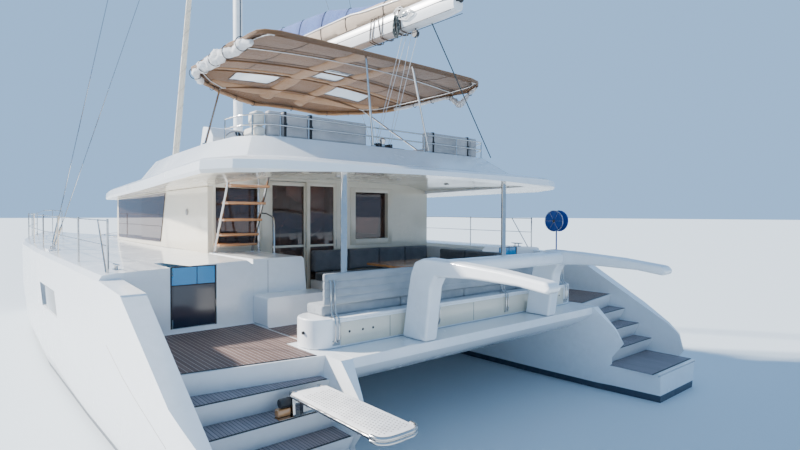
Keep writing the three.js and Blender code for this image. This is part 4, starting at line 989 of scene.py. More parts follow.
# Bimini
# One sheet of tan canvas over stainless hoops, with paler sleeves sewn under it, three clear
# windows, dark seams, a piping round its edge and a pocket for each hoop but one.
# columns: y, reach to port, reach to starboard, height of the edge, rise at the middle
CANOPY_RINGS = [
    (-4.88, 2.12, 1.75, 5.37, 0.012), (-4.80, 2.31, 2.01, 5.37, 0.03), (-4.70, 2.38, 2.14, 5.37, 0.05),
    (-4.50, 2.42, 2.26, 5.37, 0.08), (-3.90, 2.44, 2.35, 5.37, 0.135), (-3.00, 2.43, 2.37, 5.37, 0.175),
    (-2.24, 2.40, 2.36, 5.37, 0.185), (-1.90, 2.08, 2.08, 5.29, 0.205), (-1.56, 1.62, 1.62, 5.25, 0.16),
    (-1.28, 1.10, 1.20, 5.225, 0.085), (-1.06, 0.48, 0.62, 5.20, 0.015),
]
HOOPS = (-4.76, -3.9, -3.0, -2.24, -1.65)
CLOTH_OVER = 0.016  # from the canopy's under side to the middle of the cloth


def ring_at(rings, y):
    """A ring's values at any y, worked out between two rows of a table."""
    y = min(max(y, rings[0][0]), rings[-1][0])
    for first, second in zip(rings, rings[1:]):
        if y <= second[0]:
            share = (y - first[0]) / (second[0] - first[0])
            return [a + (b - a) * share for a, b in zip(first[1:], second[1:])]


def canopy_height(x, y):
    """The height of the canopy's under side."""
    port, starboard, edge, rise = ring_at(CANOPY_RINGS, y)
    return edge + rise * max(1 - (x / (port if x < 0 else starboard)) ** 2, 0)


def canopy_sag(x, y):
    """How far the cloth hangs between two hoops."""
    for aft, fore in zip(HOOPS, HOOPS[1:]):
        if aft < y < fore:
            ripple = 0.006 * noise.noise(Vector((x * 1.7, y * 2.3, 4.0)))
            return (0.022 + ripple) * math.sin(math.pi * (y - aft) / (fore - aft)) ** 2
    return 0.0


# Corners of each clear window, x and y, round from its aft port corner
CLEAR_WINDOWS = [
    [(-1.55, -2.23), (-0.62, -2.23), (-0.78, -1.80), (-1.62, -1.93)],
    [(-0.22, -3.18), (0.34, -3.18), (0.34, -2.50), (-0.22, -2.50)],
    [(0.62, -2.23), (1.50, -2.23), (1.40, -1.84), (0.54, -1.75)],
]


def inside(point, corners):
    """Whether a point lies inside a shape with its corners in order."""
    sides = []
    for (x0, y0), (x1, y1) in zip(corners, corners[1:] + corners[:1]):
        sides.append((x1 - x0) * (point.y - y0) - (y1 - y0) * (point.x - x0))
    return min(sides) > 0 or max(sides) < 0


def thicken(piece, thickness, offset=-1):
    """Gives a sheet its thickness."""
    layer = piece.modifiers.new("layer", "SOLIDIFY")
    layer.thickness = thickness
    layer.offset = offset
    settle(piece)


canvas = cloth_finish("tan canvas", (0.125, 0.058, 0.021), (0.19, 0.092, 0.036), 2200.0, 1.6)
sleeve_cloth = cloth_finish("tan sleeve", (0.26, 0.138, 0.062), (0.34, 0.19, 0.092), 2200.0, 1.6)
seam_cloth = cloth_finish("canvas seam", (0.05, 0.025, 0.015), (0.07, 0.04, 0.02), 2200.0, 1.6)
ACROSS, STATION, VALANCE = 84, 0.055, 0.062  # faces across the cloth, their length, the edge's drop
stations = []
for first, second in zip(CANOPY_RINGS, CANOPY_RINGS[1:]):
    count = max(int((second[0] - first[0]) / STATION), 2)
    stations += spaced(first[0], second[0], count)[:-1]
stations.append(CANOPY_RINGS[-1][0])
sheet = bmesh.new()
grid = []
for y in stations:
    port, starboard = ring_at(CANOPY_RINGS, y)[:2]
    row = []
    for i in range(ACROSS + 1):
        share = 2 * i / ACROSS - 1
        x = share * (port if share < 0 else starboard)
        row.append(sheet.verts.new((x, y, canopy_height(x, y) + CLOTH_OVER - canopy_sag(x, y))))
    grid.append(row)
cuts = []
skin(sheet, grid, closed=False)
for corners in CLEAR_WINDOWS:
    # The cloth is cut along each side of a window, between the lines that its faces touch.
    for (x0, y0), (x1, y1) in zip(corners, corners[1:] + corners[:1]):
        low_x, high_x = min(c[0] for c in corners) - 0.1, max(c[0] for c in corners) + 0.1
        low_y, high_y = min(c[1] for c in corners) - 0.1, max(c[1] for c in corners) + 0.1
        near_faces = [f for f in sheet.faces if low_x < f.calc_center_median().x < high_x
                      and low_y < f.calc_center_median().y < high_y]
        geom = list({v for f in near_faces for v in f.verts})
        geom += list({e for f in near_faces for e in f.edges}) + near_faces
        normal = Vector((y1 - y0, x0 - x1, 0)).normalized()
        bmesh.ops.bisect_plane(sheet, geom=geom, plane_co=(x0, y0, 5.4), plane_no=normal, dist=0.0005)
    cuts += [face for face in sheet.faces if inside(face.calc_center_median(), corners)]
clear = bmesh.new()
for face in cuts:
    clear.faces.new([clear.verts.new(vert.co) for vert in face.verts])
bmesh.ops.remove_doubles(clear, verts=clear.verts, dist=0.0001)
# The edge turns down in a valance all round.
around = [*grid[0], *[row[-1] for row in grid[1:]], *grid[-1][-2::-1], *[row[0] for row in grid[-2:0:-1]]]
hem = []
for vert in around:
    drop = VALANCE + 0.012 * noise.noise(vert.co * 3.1)
    hem.append(sheet.verts.new(vert.co + Vector((0, 0, -drop))))
for i, vert in enumerate(around):
    j = (i + 1) % len(around)
    sheet.faces.new((vert, hem[i], hem[j], around[j]))
bmesh.ops.delete(sheet, geom=cuts, context="FACES")
edge_line = [vert.co.copy() for vert in around]
piece = put("bimini_cloth", sheet, canvas, smooth=60)
thicken(piece, 0.004, 0)
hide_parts("bimini_canopy")
vinyl = finish("clear vinyl", (0.86, 0.91, 0.94), 0.12, fixed={"Transmission Weight": 0.6, "IOR": 1.3})
piece = put("bimini_windows", clear, vinyl, smooth=60)
thicken(piece, 0.002)


def add_sleeve(shape, line, half, deep, lift=0.0):
    """A flat sleeve sewn under the canopy along a line of x and y."""
    rows = []
    for i, (x, y) in enumerate(line):
        before, after = line[max(i - 1, 0)], line[min(i + 1, len(line) - 1)]
        along = Vector((after[0] - before[0], after[1] - before[1], 0)).normalized()
        across = Vector((along.y, -along.x, 0))
        row = []
        for share in spaced(-1, 1, 8):
            at = Vector((x, y, 0)) + across * share * half
            under = canopy_height(at.x, at.y) + CLOTH_OVER - canopy_sag(at.x, at.y) - 0.003
            at.z = under + lift - deep * (1 - abs(share) ** 2.6) - 0.004 * noise.noise(at * 4.0)
            row.append(shape.verts.new(at))
        rows.append(row)
    skin(shape, rows, closed=False)


def bent(points, count):
    """Points spread evenly in number between given ones."""
    line = []
    for (x0, y0), (x1, y1) in zip(points, points[1:]):
        line += list(zip(spaced(x0, x1, count), spaced(y0, y1, count)))[:-1]
    return [*line, points[-1]]


sleeves = bmesh.new()
PORT_SLEEVE = [(-0.53, -4.84), (-0.47, -4.3), (-0.39, -2.2), (-0.45, -1.7), (-0.58, -1.3)]
STARBOARD_SLEEVE = [(0.44, -4.84), (0.47, -4.1), (0.5, -2.6), (0.42, -1.8), (0.24, -1.2)]
add_sleeve(sleeves, bent(PORT_SLEEVE, 8), 0.17, 0.035)
add_sleeve(sleeves, bent(STARBOARD_SLEEVE, 8), 0.14, 0.035)
for hoop, half in ((HOOPS[0], 0.06), (HOOPS[3] - 0.09, 0.05), (None, 0.11)):
    port, starboard = ring_at(CANOPY_RINGS, hoop or -1.6)[:2]
    low, high = (-port * 0.94, starboard * 0.94) if hoop else (-1.95, 1.95)
    line = [(x, hoop if hoop else -1.42 - 0.11 * x * x) for x in spaced(low, high, 30)]
    add_sleeve(sleeves, line, half, 0.03, 0.004)
piece = put("bimini_sleeves", sleeves, sleeve_cloth, smooth=60)
thicken(piece, 0.003)
# Dark seams cross the cloth beside the hoops and frame each window. A piping runs round the edge.
seams = bmesh.new()
for y in (-4.62, -3.98, -3.82, -3.08, -2.92):
    port, starboard = ring_at(CANOPY_RINGS, y)[:2]
    add_sleeve(seams, [(x, y) for x in spaced(-port * 0.97, starboard * 0.97, 40)], 0.008, 0.006)
for x in (-1.5, 1.42):
    add_sleeve(seams, [(x, y) for y in spaced(-4.6, -2.3, 24)], 0.008, 0.006)
for corners in CLEAR_WINDOWS:
    add_sleeve(seams, bent([*corners, corners[0]], 10), 0.014, 0.006)
piece = put("bimini_seams", seams, seam_cloth, smooth=60)
thicken(piece, 0.002)
piping = bmesh.new()
add_tube(piping, edge_line, 0.007, 8, closed=True)
put("bimini_piping", piping, sleeve_cloth)
FRAME_UNDER, HOOP_SHORT, RUNNER_SHARE = 0.022, 0.07, 0.97
pockets = bmesh.new()
for y in (HOOPS[0], *HOOPS[2:]):
    port, starboard = ring_at(CANOPY_RINGS, y)[:2]
    low, high = -port + HOOP_SHORT + 0.12, starboard - HOOP_SHORT - 0.12
    line = [(x, y, canopy_height(x, y) - FRAME_UNDER) for x in spaced(low, high, 32)]
    add_tube(pockets, line, 0.0175, 12)
put("bimini_pockets", pockets, canvas)

# Side curtains
# Roll-up curtains of the bimini: pale cloth gathered along the port and starboard edges, and a thin
# tan roll along the front edge, all held up with black webbing ties.
curtain_cloth = cloth_finish("pale curtain", (0.50, 0.50, 0.52), (0.80, 0.80, 0.81), 900.0, 12.0, 0.001)


def add_roll(shape, line, radii, sides=22, folds=0.35):
    """A lumpy roll of cloth along a line. radii holds one radius for each point."""
    start = len(shape.verts)
    add_tube(shape, line, radii, sides)
    shape.verts.ensure_lookup_table()
    middle = [Vector(p) for p in line]
    for i, vert in enumerate(list(shape.verts)[start:]):
        centre = middle[min(i // sides, len(middle) - 1)]
        out = vert.co - centre
        lump = noise.noise(vert.co * 9.0) + 0.5 * noise.noise(vert.co * 23.0)
        vert.co = centre + out * (1 + folds * lump)


def edge_points(side, low, high, count, drop, inward):
    """Points along a side edge of the canopy, hung below it and set in from it."""
    points = []
    for y in spaced(low, high, count):
        reach = ring_at(CANOPY_RINGS, y)[0 if side < 0 else 1] - inward
        points.append(Vector((side * reach, y, canopy_height(side * reach, y) - drop)))
    return points


curtains = bmesh.new()
port_line = edge_points(-1, -4.5, -1.95, 46, 0.08, 0.05)
port_radii = []
for i, point in enumerate(port_line):
    fullness = 0.04 + 0.04 * math.sin(math.pi * i / 46) ** 0.5
    port_radii.append(fullness + 0.055 * noise.noise(point * 3.4))
    point.z -= 0.05 * abs(noise.noise(point * 2.1))
    point.x += 0.05 * noise.noise(point * 4.3)
add_roll(curtains, port_line, port_radii, 26, 0.6)
piece = put("port_curtain", curtains, curtain_cloth, smooth=70)
rolls = bmesh.new()
front = []
for share in spaced(0, 1, 60):
    y = -2.12 + 1.0 * math.sin(math.pi * share) ** 0.62
    reach = ring_at(CANOPY_RINGS, y)[0 if share < 0.5 else 1]
    x = (reach - 0.02) * (-1 if share < 0.5 else 1)
    if abs(share - 0.5) < 0.07:
        x = (share - 0.5) / 0.07 * 0.55
    front.append(Vector((x, y, canopy_height(x, y) - 0.06)))
add_roll(rolls, front, [0.034 + 0.012 * noise.noise(p * 3.0) for p in front], 16, 0.3)
starboard_line = edge_points(1, -4.6, -2.1, 44, 0.06, 0.02)
# It hangs lowest and fullest at its tenth point.
hanging = [math.exp(-((i - 9) / 4.0) ** 2) for i in range(len(starboard_line))]
for point, share in zip(starboard_line, hanging):
    point.z -= 0.2 * share
piece = put("front_roll", rolls, sleeve_cloth, smooth=70)
hung = bmesh.new()
starboard_radii = [0.034 + 0.03 * share + 0.012 * noise.noise(point * 3.0)
                   for point, share in zip(starboard_line, hanging)]
add_roll(hung, starboard_line, starboard_radii, 18, 0.45)
piece = put("starboard_curtain", hung, curtain_cloth, smooth=70)
ties = bmesh.new()
for line, radius, step in ((port_line, 0.1, 9), (starboard_line, 0.05, 10), (front, 0.048, 9)):
    for i in range(4, len(line) - 4, step):
        along = (line[i + 1] - line[i - 1]).normalized()
        add_ring(ties, line[i], along, radius, 0.006, 6, 24)
put("curtain_ties", ties, straps_cloth)

# Bimini frame
# Stainless hoops with a runner along each side, welded where they meet. Four legs stand on round
# plates on the coaming.
bows = bmesh.new()
for y in HOOPS:
    port, starboard = ring_at(CANOPY_RINGS, y)[:2]
    low, high = -port + HOOP_SHORT, starboard - HOOP_SHORT
    line = [(x, y, canopy_height(x, y) - FRAME_UNDER) for x in spaced(low, high, 32)]
    add_tube(bows, line, 0.014, 12)
for side in (0, 1):
    run = []
    for y in spaced(HOOPS[0], HOOPS[-1], 36):
        x = (ring_at(CANOPY_RINGS, y)[side] - HOOP_SHORT) * RUNNER_SHARE * (1 if side else -1)
        run.append((x, y, canopy_height(x, y) - FRAME_UNDER))
    add_tube(bows, run, 0.014, 12)
# columns: x and y of a leg's foot, x and y of its head, height of the foot
LEGS = [
    (-0.42, -4.745, -0.60, -4.78, 3.97), (0.80, -4.745, 0.38, -4.78, 3.97),
    (-2.53, -3.2, -1.66, -1.65, 3.97), (2.53, -3.2, 1.66, -1.65, 3.97),
]
for x0, y0, x1, y1, foot in LEGS:
    add_leg(bows, (x0, y0, foot), (x1, y1, canopy_height(x1, y1) - FRAME_UNDER), 0.018, 0.04, 0.02)
piece = put("bimini_bows", bows, steel)
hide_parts("bimini_frame")

# Mast and boom
# A white alloy mast with spreaders and a dark sail track, and a deep white boom with blocks, rope
# lashings round it and spare rope hung on its port side. Thin dark lines of painted shade run along the
# boom's sides.
dark_track = finish("sail track", (0.05, 0.05, 0.055), 0.5)
MAST_Y, MAST_FOOT, MAST_TOP = 1.32, 3.93, 22.6
mast = bmesh.new()
rings = []
for z, half_x, half_y in ((MAST_FOOT, 0.105, 0.15), (18.5, 0.105, 0.15), (MAST_TOP, 0.06, 0.085)):
    ring = []
    for turn in angles(40):
        ring.append(mast.verts.new((half_x * math.cos(turn), MAST_Y + half_y * math.sin(turn), z)))
    rings.append(ring)
skin(mast, rings)
mast.faces.new(rings[0][::-1])
mast.faces.new(rings[-1])
for z, reach in ((11.2, 1.25), (16.8, 1.0)):
    for side in (-1, 1):
        add_peg(mast, (side * 0.06, MAST_Y, z), (side * reach, MAST_Y + 0.26, z + 0.06), 0.034, 0.022, 16)
add_box(mast, (-0.07, MAST_Y - 0.3, MAST_TOP - 0.06), (0.07, MAST_Y + 0.2, MAST_TOP + 0.02), 0.012)
for z in (6.1003, 5.9557):
    # The gooseneck's two jaws take the boom's fore end.
    add_box(mast, (-0.03, MAST_Y - 0.235, z), (0.03, MAST_Y - 0.13, z + 0.024), 0.004)
piece = put("mast_tube", mast, painted_alloy)
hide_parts("mast")
track = bmesh.new()
add_box(track, (-0.014, MAST_Y - 0.158, 6.8), (0.014, MAST_Y - 0.146, 18.5), 0.002)
put("mast_track", track, dark_track)
rounded("boom", 0.02, painted_alloy)
GOOSE_Y, BOOM_Z, BOOM_HALF, BOOM_HIGH, BOOM_DROOP = 1.115, 6.04, 0.12, 0.175, 0.0105


def boom_z(y):
    return BOOM_Z + BOOM_DROOP * (y - GOOSE_Y)


boom_blocks_and_shade_lines = bmesh.new()
BOOM_AFT = -6.185
# Thin dark lines along each side of the boom are painted shade: one in a groove at its middle, one under its
# lower edge.
for side in (-1, 1):
    for rise in (-0.155, 0.02):
        line = [(side * (BOOM_HALF + 0.001), y, boom_z(y) + rise) for y in (BOOM_AFT + 0.03, 0.9)]
        add_tube(boom_blocks_and_shade_lines, line, 0.005, 6)
# columns: y, z, half width, radius at its cheeks, radius at its middle
BLOCKS = ((BOOM_AFT - 0.02, 5.98, 0.05, 0.05, 0.04), (-5.28, 5.71, 0.03, 0.055, 0.062))
for y, z, half, cheek, waist in BLOCKS:
    sheave = [(0, 0), (0, cheek), (0.5, waist), (1, cheek), (1, 0)]
    add_turned(boom_blocks_and_shade_lines, (-half, y, z), (half, y, z), sheave)
add_tube(boom_blocks_and_shade_lines, [(0, -5.28, 5.72), (0, -5.28, 5.82)], 0.01, 8)
put("boom_blocks_and_shade_lines", boom_blocks_and_shade_lines, rubber, "boom")


LASHING_HALF = 0.131  # just outside the boom's side


def add_lashing(shape, y, lean, radius=0.009, high=0.2):
    """A turn of rope round the boom, leaning along it by so much from side to side."""
    points = []
    for turn in angles(24):
        wide, tall = math.cos(turn), math.sin(turn)
        round_to = max(abs(wide), abs(tall)) ** -0.75
        at_y = y + lean * tall
        points.append((LASHING_HALF * wide * round_to, at_y, boom_z(at_y) + high * tall * round_to))
    add_tube(shape, points, radius, 8, closed=True)


lashings = bmesh.new()
# columns: y, lean along the boom
LASHINGS = ((-4.28, -0.03), (-4.36, -0.045), (-4.52, 0.05), (-4.6, -0.02), (-4.93, 0.03), (-4.99, -0.05),
            (-5.05, 0.02))
for y, lean in LASHINGS:
    add_lashing(lashings, y, lean, 0.008 + 0.004 * (y < -4.9))
rope_brown = finish("brown rope", (0.10, 0.075, 0.06), 0.85)
put("boom_lashings", lashings, rope_brown, "boom")


def add_hank(shape, centre, wide, tall, loops, radius):
    """Turns of spare rope hung flat against the boom's port side, each a little off the last."""
    for i in range(loops):
        shift = Vector((-0.004 * i, 0.02 * math.sin(i * 2.4), 0.02 * math.cos(i * 1.7)))
        points = []
        for turn in angles(28):
            sway = 0.02 * math.sin(3 * turn + i)
            loop = Vector((-0.01 * math.sin(turn), wide * math.cos(turn) + sway, tall * math.sin(turn)))
            points.append(Vector(centre) + shift + loop)
        add_tube(shape, points, radius, 8, closed=True)


hanks = bmesh.new()
add_hank(hanks, (-0.14, -4.98, 5.86), 0.05, 0.16, 6, 0.008)
dark_rope = finish("dark rope", (0.03, 0.045, 0.05), 0.8)
put("dark_hank", hanks, dark_rope, "boom")
pale_hanks = bmesh.new()
add_hank(pale_hanks, (-0.15, -5.2, 6.0), 0.14, 0.07, 4, 0.006)
add_hank(pale_hanks, (-0.15, -5.05, 6.08), 0.1, 0.05, 3, 0.006)
put("pale_hank", pale_hanks, net_cord, "boom")

# Sail cover
# The stack bag is a beige band laced to the boom. A blue cover of acrylic cloth is drawn over the
# stowed sail above it, with a pale boltrope between them and ties round the whole.
# columns: y, half width, height above the boom
BAG_RINGS = [(-5.685, 0.09, 0.18), (-4.085, 0.13, 0.32), (-2.885, 0.15, 0.58), (-0.885, 0.16, 0.74),
             (0.715, 0.165, 0.80)]
BAND = 0.24
TIES = (-4.6, -3.55, -2.75, -1.9, -1.05, -0.2)


def bag_line(y, swell=0.0):
    """The bag's section from its port foot over the top to its starboard foot."""
    half, high = ring_at(BAG_RINGS, y)
    foot = boom_z(y) + BOOM_HIGH + 0.005
    band = min(BAND, 0.6 * high)
    rise = high - band
    side = [(0.72, 0.0), (0.9, 0.3 * band), (0.97, 0.65 * band), (0.92, band), (0.86, band + 0.12 * rise),
            (0.78, band + 0.35 * rise), (0.62, band + 0.6 * rise), (0.42, band + 0.82 * rise),
            (0.2, band + 0.96 * rise)]
    line = [(-w * half - swell, foot + z) for w, z in side] + [(0.0, foot + high)]
    return line + [(w * half + swell, foot + z) for w, z in side[::-1]]


bag = bmesh.new()
rows = []
BAG_STEPS = 110
for y in spaced(BAG_RINGS[0][0], BAG_RINGS[-1][0], BAG_STEPS):
    pinch = sum(math.exp(-((y - tie) / 0.06) ** 2) for tie in TIES)
    row = []
    for k, (x, z) in enumerate(bag_line(y)):
        broad = noise.noise(Vector((x * 5.0, y * 1.6, z * 6.0)))
        fold = broad + 0.5 * noise.noise(Vector((x * 9.0, y * 5.0, z * 11.0)))
        upper = min(k, 18 - k) / 9
        slack = 0.014 * fold * upper - 0.012 * pinch * upper
        row.append(bag.verts.new((x * (1 + slack / 0.15), y, z + (0.02 * fold - 0.02 * pinch) * upper)))
    rows.append(row)
skin(bag, rows)
bag.faces.new(rows[0])
bag.faces.new(rows[-1][::-1])
bag_cloth = cloth_finish("stack bag cloth", (0.46, 0.36, 0.27), (0.60, 0.49, 0.38), 2400.0, 2.0)
bag_tree = bag_cloth.node_tree
bag_spot = add_node(bag_tree, "SeparateXYZ", {0: place(bag_tree)})
droop = sums(bag_tree, "MULTIPLY", bag_spot["Y"], BOOM_DROOP)
boom_top = sums(bag_tree, "ADD", droop, boom_z(0.0) + BOOM_HIGH)
above = sums(bag_tree, "SUBTRACT", bag_spot["Z"], boom_top)
covered = spread(bag_tree, above, BAND + 0.004, BAND + 0.012)
blue_tone = use(bag_tree, haze, {"Size": 2.4})["Mask"]
blue = mixed(bag_tree, blue_tone, (0.008, 0.055, 0.25), (0.02, 0.095, 0.34))
repaint(bag_cloth, covered, blue)
piece = put("sail_cover", bag, bag_cloth, "boom", smooth=70)
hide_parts("sail_bag")
boltrope = bmesh.new()
for edge in (3, -4):  # the band's top on each side of the section
    line = []
    for y in spaced(-5.6, 0.6, 59):
        x, z = bag_line(y, 0.004)[edge]
        line.append((x, y, z))
    add_tube(boltrope, line, 0.014, 10)
put("cover_boltrope", boltrope, painted_alloy, "boom")
cover_ties = bmesh.new()
for y in TIES:
    add_tube(cover_ties, [(x, y, z) for x, z in bag_line(y, 0.003)], 0.006, 8)
put("cover_ties", cover_ties, straps_cloth, "boom")

# Mainsheet
# Four thin falls run from a block under the boom to the winch on the coaming, and a dark sheet runs
# from the boom's end to starboard.
falls = bmesh.new()
FALL_Y, FALL_FOOT = -4.735, 4.02
# columns: y on the boom, x on the coaming
for top_y, foot_x in ((-4.98, -0.37), (-5.09, -0.33), (-5.2, -0.1), (-5.36, -0.06)):
    top = Vector((0.0, top_y, boom_z(top_y) - 0.18))
    foot = Vector((foot_x, FALL_Y, FALL_FOOT))
    add_tube(falls, [top.lerp(foot, share) for share in spaced(0, 1, 16)], 0.0045, 8)


def between(name, shape, material):
    """A rope from a point on the boat to a point on the boom."""
    rope = in_scene(name, mesh_of(shape, name))
    rope.data.materials.append(material)
    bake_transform(rope)


fall_rope = finish("pale rope", (0.50, 0.50, 0.50), 0.8)
between("sheet_falls", falls, fall_rope)
guy = bmesh.new()
top, foot = Vector((0.02, -5.61, 5.81)), Vector((2.49, -4.72, 4.0))
add_tube(guy, [top.lerp(foot, share) for share in spaced(0, 1, 20)], 0.009, 8)
between("boom_guy", guy, dark_rope)

# Headsail and shrouds
# The headsail is furled round its stay, and its leech shows as a seam that winds down it. Wire
# shrouds hold the mast at each side, with a stainless turnbuckle at the foot of each.
seam_grey = finish("seam thread", (0.42, 0.37, 0.30), 0.8)
headsail_cloth = cloth_finish("headsail strip", (0.64, 0.57, 0.46), (0.74, 0.68, 0.57), 1500.0, 1.0)
rounded("furled_headsail", 0.004, headsail_cloth)


def ends_of(node):
    """The middle of a long solid's foot and of its head."""
    spots = [v.co for v in frame["nodes"][node].data.vertices]
    found = []
    for level in (min(p.z for p in spots), max(p.z for p in spots)):
        near = [p for p in spots if abs(p.z - level) < 0.06]
        found.append(sum(near, Vector()) / len(near))
    return found


def surface_of(node):
    """A search tree over a solid's faces."""
    data = frame["nodes"][node].data
    return BVHTree.FromPolygons([v.co for v in data.vertices], [list(p.vertices) for p in data.polygons])


sail_faces = surface_of("furled_headsail")
foot, head = ends_of("furled_headsail")
along = (head - foot).normalized()
sideways = Vector((1, 0, 0))
inward = along.cross(sideways)
LEECH_TURNS = 34
leech = []
for share in spaced(0.02, 0.98, 699):
    turn = 2 * math.pi * LEECH_TURNS * share
    out = sideways * math.cos(turn) + inward * math.sin(turn)
    centre = foot.lerp(head, share)
    hit = sail_faces.ray_cast(centre + out, -out)[0]
    if hit:
        leech.append(hit + out * 0.001)
seam_line = bmesh.new()
add_tube(seam_line, leech, 0.0045, 6)
put("headsail_leech", seam_line, seam_grey)
# A turnbuckle's profile: share of its length, radius
SCREW = [(0, 0), (0, 0.011), (0.2, 0.011), (0.24, 0.017), (0.76, 0.017), (0.8, 0.011), (1, 0.009), (1, 0)]
screws = bmesh.new()
for side_name, side in SIDES:
    for kind in ("cap", "lower"):
        name = f"{kind}_shroud_{side_name}"
        paint([name], steel)
        foot, head = ends_of(name)
        along = (head - foot).normalized()
        add_turned(screws, foot + along * 0.05, foot + along * 0.45, SCREW, 14)
put("turnbuckles", screws, steel)

# Davits
# Two arms moulded in glass fibre with white gelcoat reach aft over the stern from the bridgedeck.
# A moulded beam is bonded across between them.
for side_name, side in SIDES:
    rounded(f"davit_{side_name}", 0.045, gelcoat, angle=12)
rounded("davit_beam", 0.012, gelcoat, angle=12)

# Gangway
# A hinged board of pale pierced composite between polished side tubes, with a bent bar round its
# end. It turns on a black pivot in a bracket bolted to the steps, beside a varnished chock.
board_grey = finish("pierced board", (0.78, 0.77, 0.76), 0.45)
mottled(board_grey, 6.0, (0.80, 0.79, 0.78), (0.66, 0.64, 0.63))
HINGE = Vector((-2.9, -6.86, 1.13))
BOARD_HALF, BOARD_NEAR, BOARD_END = 0.21, -0.06, -1.48


def board_outline(inset=0.0):
    """The board seen from above, with its outer corners rounded and its end bowed."""
    half, near, end = BOARD_HALF - inset, BOARD_NEAR, BOARD_END + inset
    outline = [(half, near), (-half, near)]
    for i in range(15):
        turn = math.pi * (1 + i / 14)
        wide = math.copysign(abs(math.cos(turn)) ** 0.62, math.cos(turn))
        outline.append((half * wide, end + 0.14 * (1 - abs(math.sin(turn)) ** 0.62)))
    return outline


board = bmesh.new()
board_edge = [(HINGE.x + x, HINGE.y + y) for x, y in board_outline(0.012)]
add_slab(board, board_edge, [HINGE.z - 0.012, HINGE.z + 0.022], 0.005)
add_box(board, HINGE + Vector((-0.11, -0.08, -0.012)), HINGE + Vector((0.11, 0.0, 0.012)), 0.003)
piece = put("gangway_board", board, board_grey, "gangway")
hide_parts("gangway")
frame_tubes = bmesh.new()
for drop in (0.018, -0.02):
    end_line = [HINGE + Vector((x, y, drop)) for x, y in board_outline()[2:]]
    add_tube(frame_tubes, end_line, 0.017, 12)
end_line = board_outline(-0.004)[2:]
for (x0, y0), (x1, y1) in zip(end_line, end_line[1:]):
    spots = [HINGE + Vector(p) for p in ((x0, y0, -0.02), (x1, y1, -0.02), (x1, y1, 0.018), (x0, y0, 0.018))]
    frame_tubes.faces.new([frame_tubes.verts.new(p) for p in spots])
for side in (-1, 1):
    sides = [HINGE + Vector((side * (BOARD_HALF - 0.004), y, 0.0)) for y in (BOARD_NEAR - 0.01, -1.34)]
    add_tube(frame_tubes, sides, 0.015, 12)
    low_line = [HINGE + Vector((side * 0.17, y, -0.03)) for y in (-0.1, -1.3)]
    add_tube(frame_tubes, low_line, 0.013, 12)
for y in (-0.35, -0.75, -1.15):
    add_tube(frame_tubes, [HINGE + Vector((x, y, -0.024)) for x in (-0.2, 0.2)], 0.01, 10)
add_peg(frame_tubes, HINGE + Vector((-0.147, 0, 0)), HINGE + Vector((0.147, 0, 0)), 0.02, 0.02)
put("gangway_tubes", frame_tubes, steel, "gangway")
# Grey discs on the board's top stand for its holes. Their grey is painted shade seen through the holes.
pierced = bmesh.new()
HOLE_ROWS, HOLE_FILES, ROW_PITCH, FILE_PITCH = 30, 9, 0.04, 0.036
for i in range(HOLE_ROWS):
    for k in range(HOLE_FILES):
        x = (k - HOLE_FILES // 2) * FILE_PITCH
        y = -0.2 - i * ROW_PITCH - ROW_PITCH / 2 * (k % 2)
        at = HINGE + Vector((x, y, 0.0216))
        add_peg(pierced, at, at + Vector((0, 0, 0.0012)), 0.008, 0.008, 8)
painted_hole_shade = finish("hole", (0.20, 0.19, 0.19), 0.8)
put("gangway_holes", pierced, painted_hole_shade, "gangway")
rounded("gangway_bracket", 0.003, steel)
chock = bmesh.new()
add_box(chock, (-3.22, -6.88, 0.926), (-3.08, -6.8, 1.0), 0.012)
put("gangway_chock", chock, varnish)
pivot = bmesh.new()
barrel = [(0, 0), (0, 0.04), (0.1, 0.046), (0.9, 0.046), (1, 0.04), (1, 0)]
add_turned(pivot, (-3.19, -6.845, 1.05), (-3.075, -6.845, 1.05), barrel)
put("gangway_pivot", pivot, rubber)

# Guardrails
# Stainless stanchions stand along each deck edge and carry the wires. A bent pulpit of stainless
# tube closes each bow.
paint(("guardrail_port", "guardrail_starboard"), steel)

# Deck gear
# Cast mooring cleats stand on pads along each deck edge, and a fine groove crosses each stern wing
# where two mouldings meet.
# columns: distance outboard, y
CLEATS = ((4.02, -4.2), (4.06, 0.3), (3.62, 6.6))
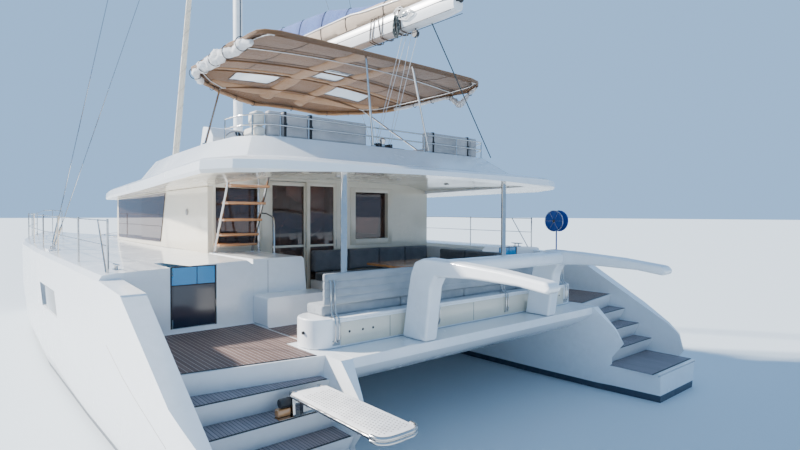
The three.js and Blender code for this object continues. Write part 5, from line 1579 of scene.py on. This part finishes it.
# y and z of the groove's ends and of its bend
GROOVE = ((-4.95, 1.442), (-5.9, 1.165), (-6.79, 0.888))
cleats = bmesh.new()
grooves = bmesh.new()
for side_name, side in SIDES:
    hull_faces = surface_of(f"hull_{side_name}")
    for out, y in CLEATS:
        deck = hull_faces.ray_cast(Vector((side * out, y, 4)), Vector((0, 0, -1)))[0]
        add_box(cleats, deck + Vector((-0.03, -0.09, -0.006)), deck + Vector((0.03, 0.09, 0.008)), 0.003)
        for shift in (-0.05, 0.05):
            add_tube(cleats, [deck + Vector((0, shift, 0)), deck + Vector((0, shift * 0.9, 0.05))], 0.012, 10)
        horn = [deck + Vector((0, 0.15 * s, 0.058 + 0.008 * abs(s))) for s in (-1, -0.6, -0.2, 0.2, 0.6, 1)]
        add_tube(cleats, horn, [0.007, 0.012, 0.014, 0.014, 0.012, 0.007], 12)
    line = []
    for (y0, z0), (y1, z1) in zip(GROOVE, GROOVE[1:]):
        for y, z in zip(spaced(y0, y1, 8), spaced(z0, z1, 8)):
            at = Vector((side * 6, y, z))
            line.append(hull_faces.ray_cast(at, Vector((-side, 0, 0)))[0])
    add_tube(grooves, line[:9] + line[10:], 0.0035, 6)
put("cleats", cleats, steel)
put("wing_grooves", grooves, dull_plastic)

# Line reel and foredeck lids
# A blue webbing reel with a stainless hub, rims and spokes, on a post at the starboard quarter, and a
# hinged locker lid on each side of the foredeck.
reel_blue = finish("blue moulding", (0.02, 0.07, 0.30), 0.4)
rounded("line_reel", 0.004, reel_blue)
REEL = Vector((4.18, -5.1, 2.76))
reel_gear = bmesh.new()
add_peg(reel_gear, REEL - Vector((0.108, 0, 0)), REEL + Vector((0.108, 0, 0)), 0.03, 0.03)
for shift in (-0.098, 0.098):
    add_ring(reel_gear, REEL + Vector((shift, 0, 0)), (1, 0, 0), 0.215, 0.006, 8, 48)
    for turn in angles(6):
        spoke = [REEL + Vector((shift, r * math.cos(turn), r * math.sin(turn))) for r in (0.03, 0.213)]
        add_tube(reel_gear, spoke, 0.004, 8)
put("reel_gear", reel_gear, steel)
for side_name, side in SIDES:
    rounded(f"foredeck_lid_{side_name}", 0.006, gelcoat)
